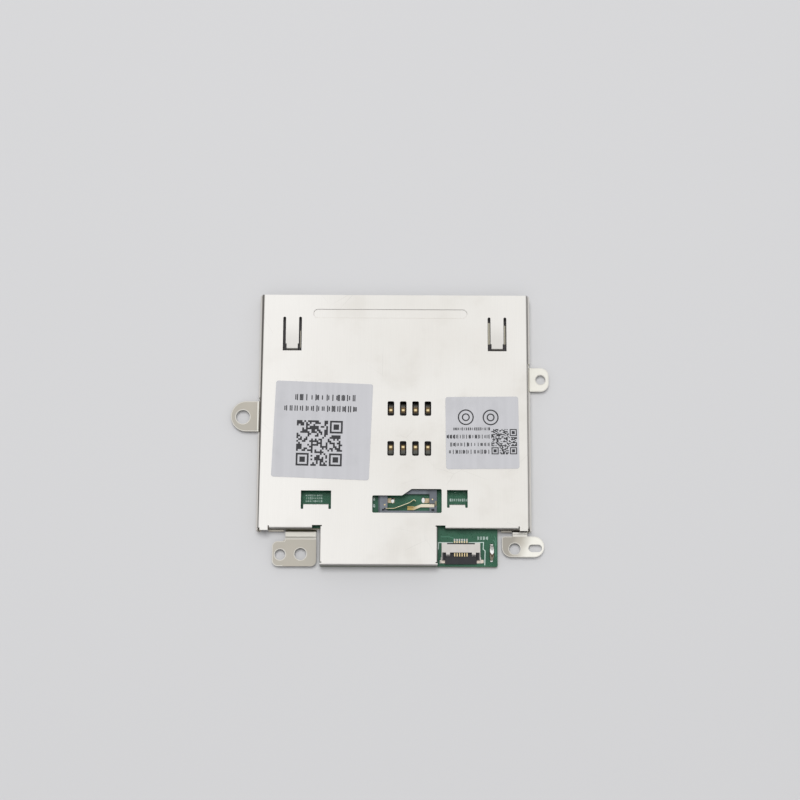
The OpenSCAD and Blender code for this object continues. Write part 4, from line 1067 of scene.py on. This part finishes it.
class READER_OT_stage(bpy.types.Operator):
    """Set the plain floor, the soft light and the camera"""
    bl_idname = "reader.stage"
    bl_label = "Stage"

    def execute(self, context):
        scene = context.scene
        stage = scene.reader_stage
        bm = bmesh.new()
        bmesh.ops.create_grid(bm, x_segments=2, y_segments=2, size=FLOOR_REACH)
        bmesh.ops.translate(bm, vec=(0, 0, -FLOOR_DROP), verts=bm.verts)
        mesh = bpy.data.meshes.new("floor")
        bm.to_mesh(mesh)
        bm.free()
        mesh.materials.append(floor_finish(stage.floor_colour))
        floor = stand("floor", mesh)

        scene.world = bpy.data.worlds.new("Even surroundings")
        scene.world.use_nodes = True
        do = Recipe(scene.world.node_tree)
        backdrop = do.tree.nodes["Background"].inputs
        look = do.add("ShaderNodeTexCoord").outputs["Generated"]
        way = do.vectors("DOT_PRODUCT", look, SKY_WAY, "Value")
        sky = do.blend(do.spread(way, 0.02, 0.66), solid(DIM_SKY), solid(WHITE))
        do.join(sky, backdrop["Color"])
        shed = do.add("ShaderNodeLightPath").outputs["Is Diffuse Ray"]
        dimmed = do.times(shed, stage.sky_strength - stage.fill_strength)
        do.join(do.minus(stage.sky_strength, dimmed), backdrop["Strength"])

        light = bpy.data.lights.new("soft_lamp", "AREA")
        light.shape = "SQUARE"
        light.size = LAMP_SIDE
        light.energy = stage.lamp_power
        lamp = stand("soft_lamp", light)
        lamp.location = LAMP_PLACE
        lamp.rotation_euler = (-lamp.location).to_track_quat("-Z", "Y").to_euler()
        lamp.visible_glossy = False

        eye = bpy.data.cameras.new("camera")
        eye.sensor_width = 36.0
        eye.angle = stage.view_angle
        eye.clip_start = 0.01
        camera = stand("camera", eye)
        camera.location = CAMERA_PLACE
        camera.rotation_euler = (math.radians(CAMERA_TILT), 0, math.radians(CAMERA_TURN))
        scene.camera = camera
        scene.view_settings.view_transform = "Standard"
        return {"FINISHED"}


class READER_PT_panel(bpy.types.Panel):
    """Lists the reader's settings and steps"""
    bl_label = "Card reader"
    bl_idname = "READER_PT_panel"
    bl_space_type = "VIEW_3D"
    bl_region_type = "UI"
    bl_category = "Card reader"

    def draw(self, context):
        for name, group in SETTINGS.items():
            box = self.layout.box()
            for field in group.__annotations__:
                box.prop(getattr(context.scene, name), field)
        for step in STEPS:
            self.layout.operator(step.bl_idname)


STEPS = (
    READER_OT_cover, READER_OT_base_frame, READER_OT_board, READER_OT_guide, READER_OT_springs,
    READER_OT_switch, READER_OT_connector, READER_OT_components, READER_OT_labels, READER_OT_stage,
)


def register():
    for group in SETTINGS.values():
        bpy.utils.register_class(group)
    for name, group in SETTINGS.items():
        setattr(bpy.types.Scene, name, bpy.props.PointerProperty(type=group))
    for step in STEPS:
        bpy.utils.register_class(step)
    bpy.utils.register_class(READER_PT_panel)


def unregister():
    bpy.utils.unregister_class(READER_PT_panel)
    for step in reversed(STEPS):
        bpy.utils.unregister_class(step)
    for name in SETTINGS:
        delattr(bpy.types.Scene, name)
    for group in reversed(list(SETTINGS.values())):
        bpy.utils.unregister_class(group)


def main():
    register()
    for step in STEPS:
        family, name = step.bl_idname.split(".")
        getattr(getattr(bpy.ops, family), name)()


if __name__ == "__main__":
    main()
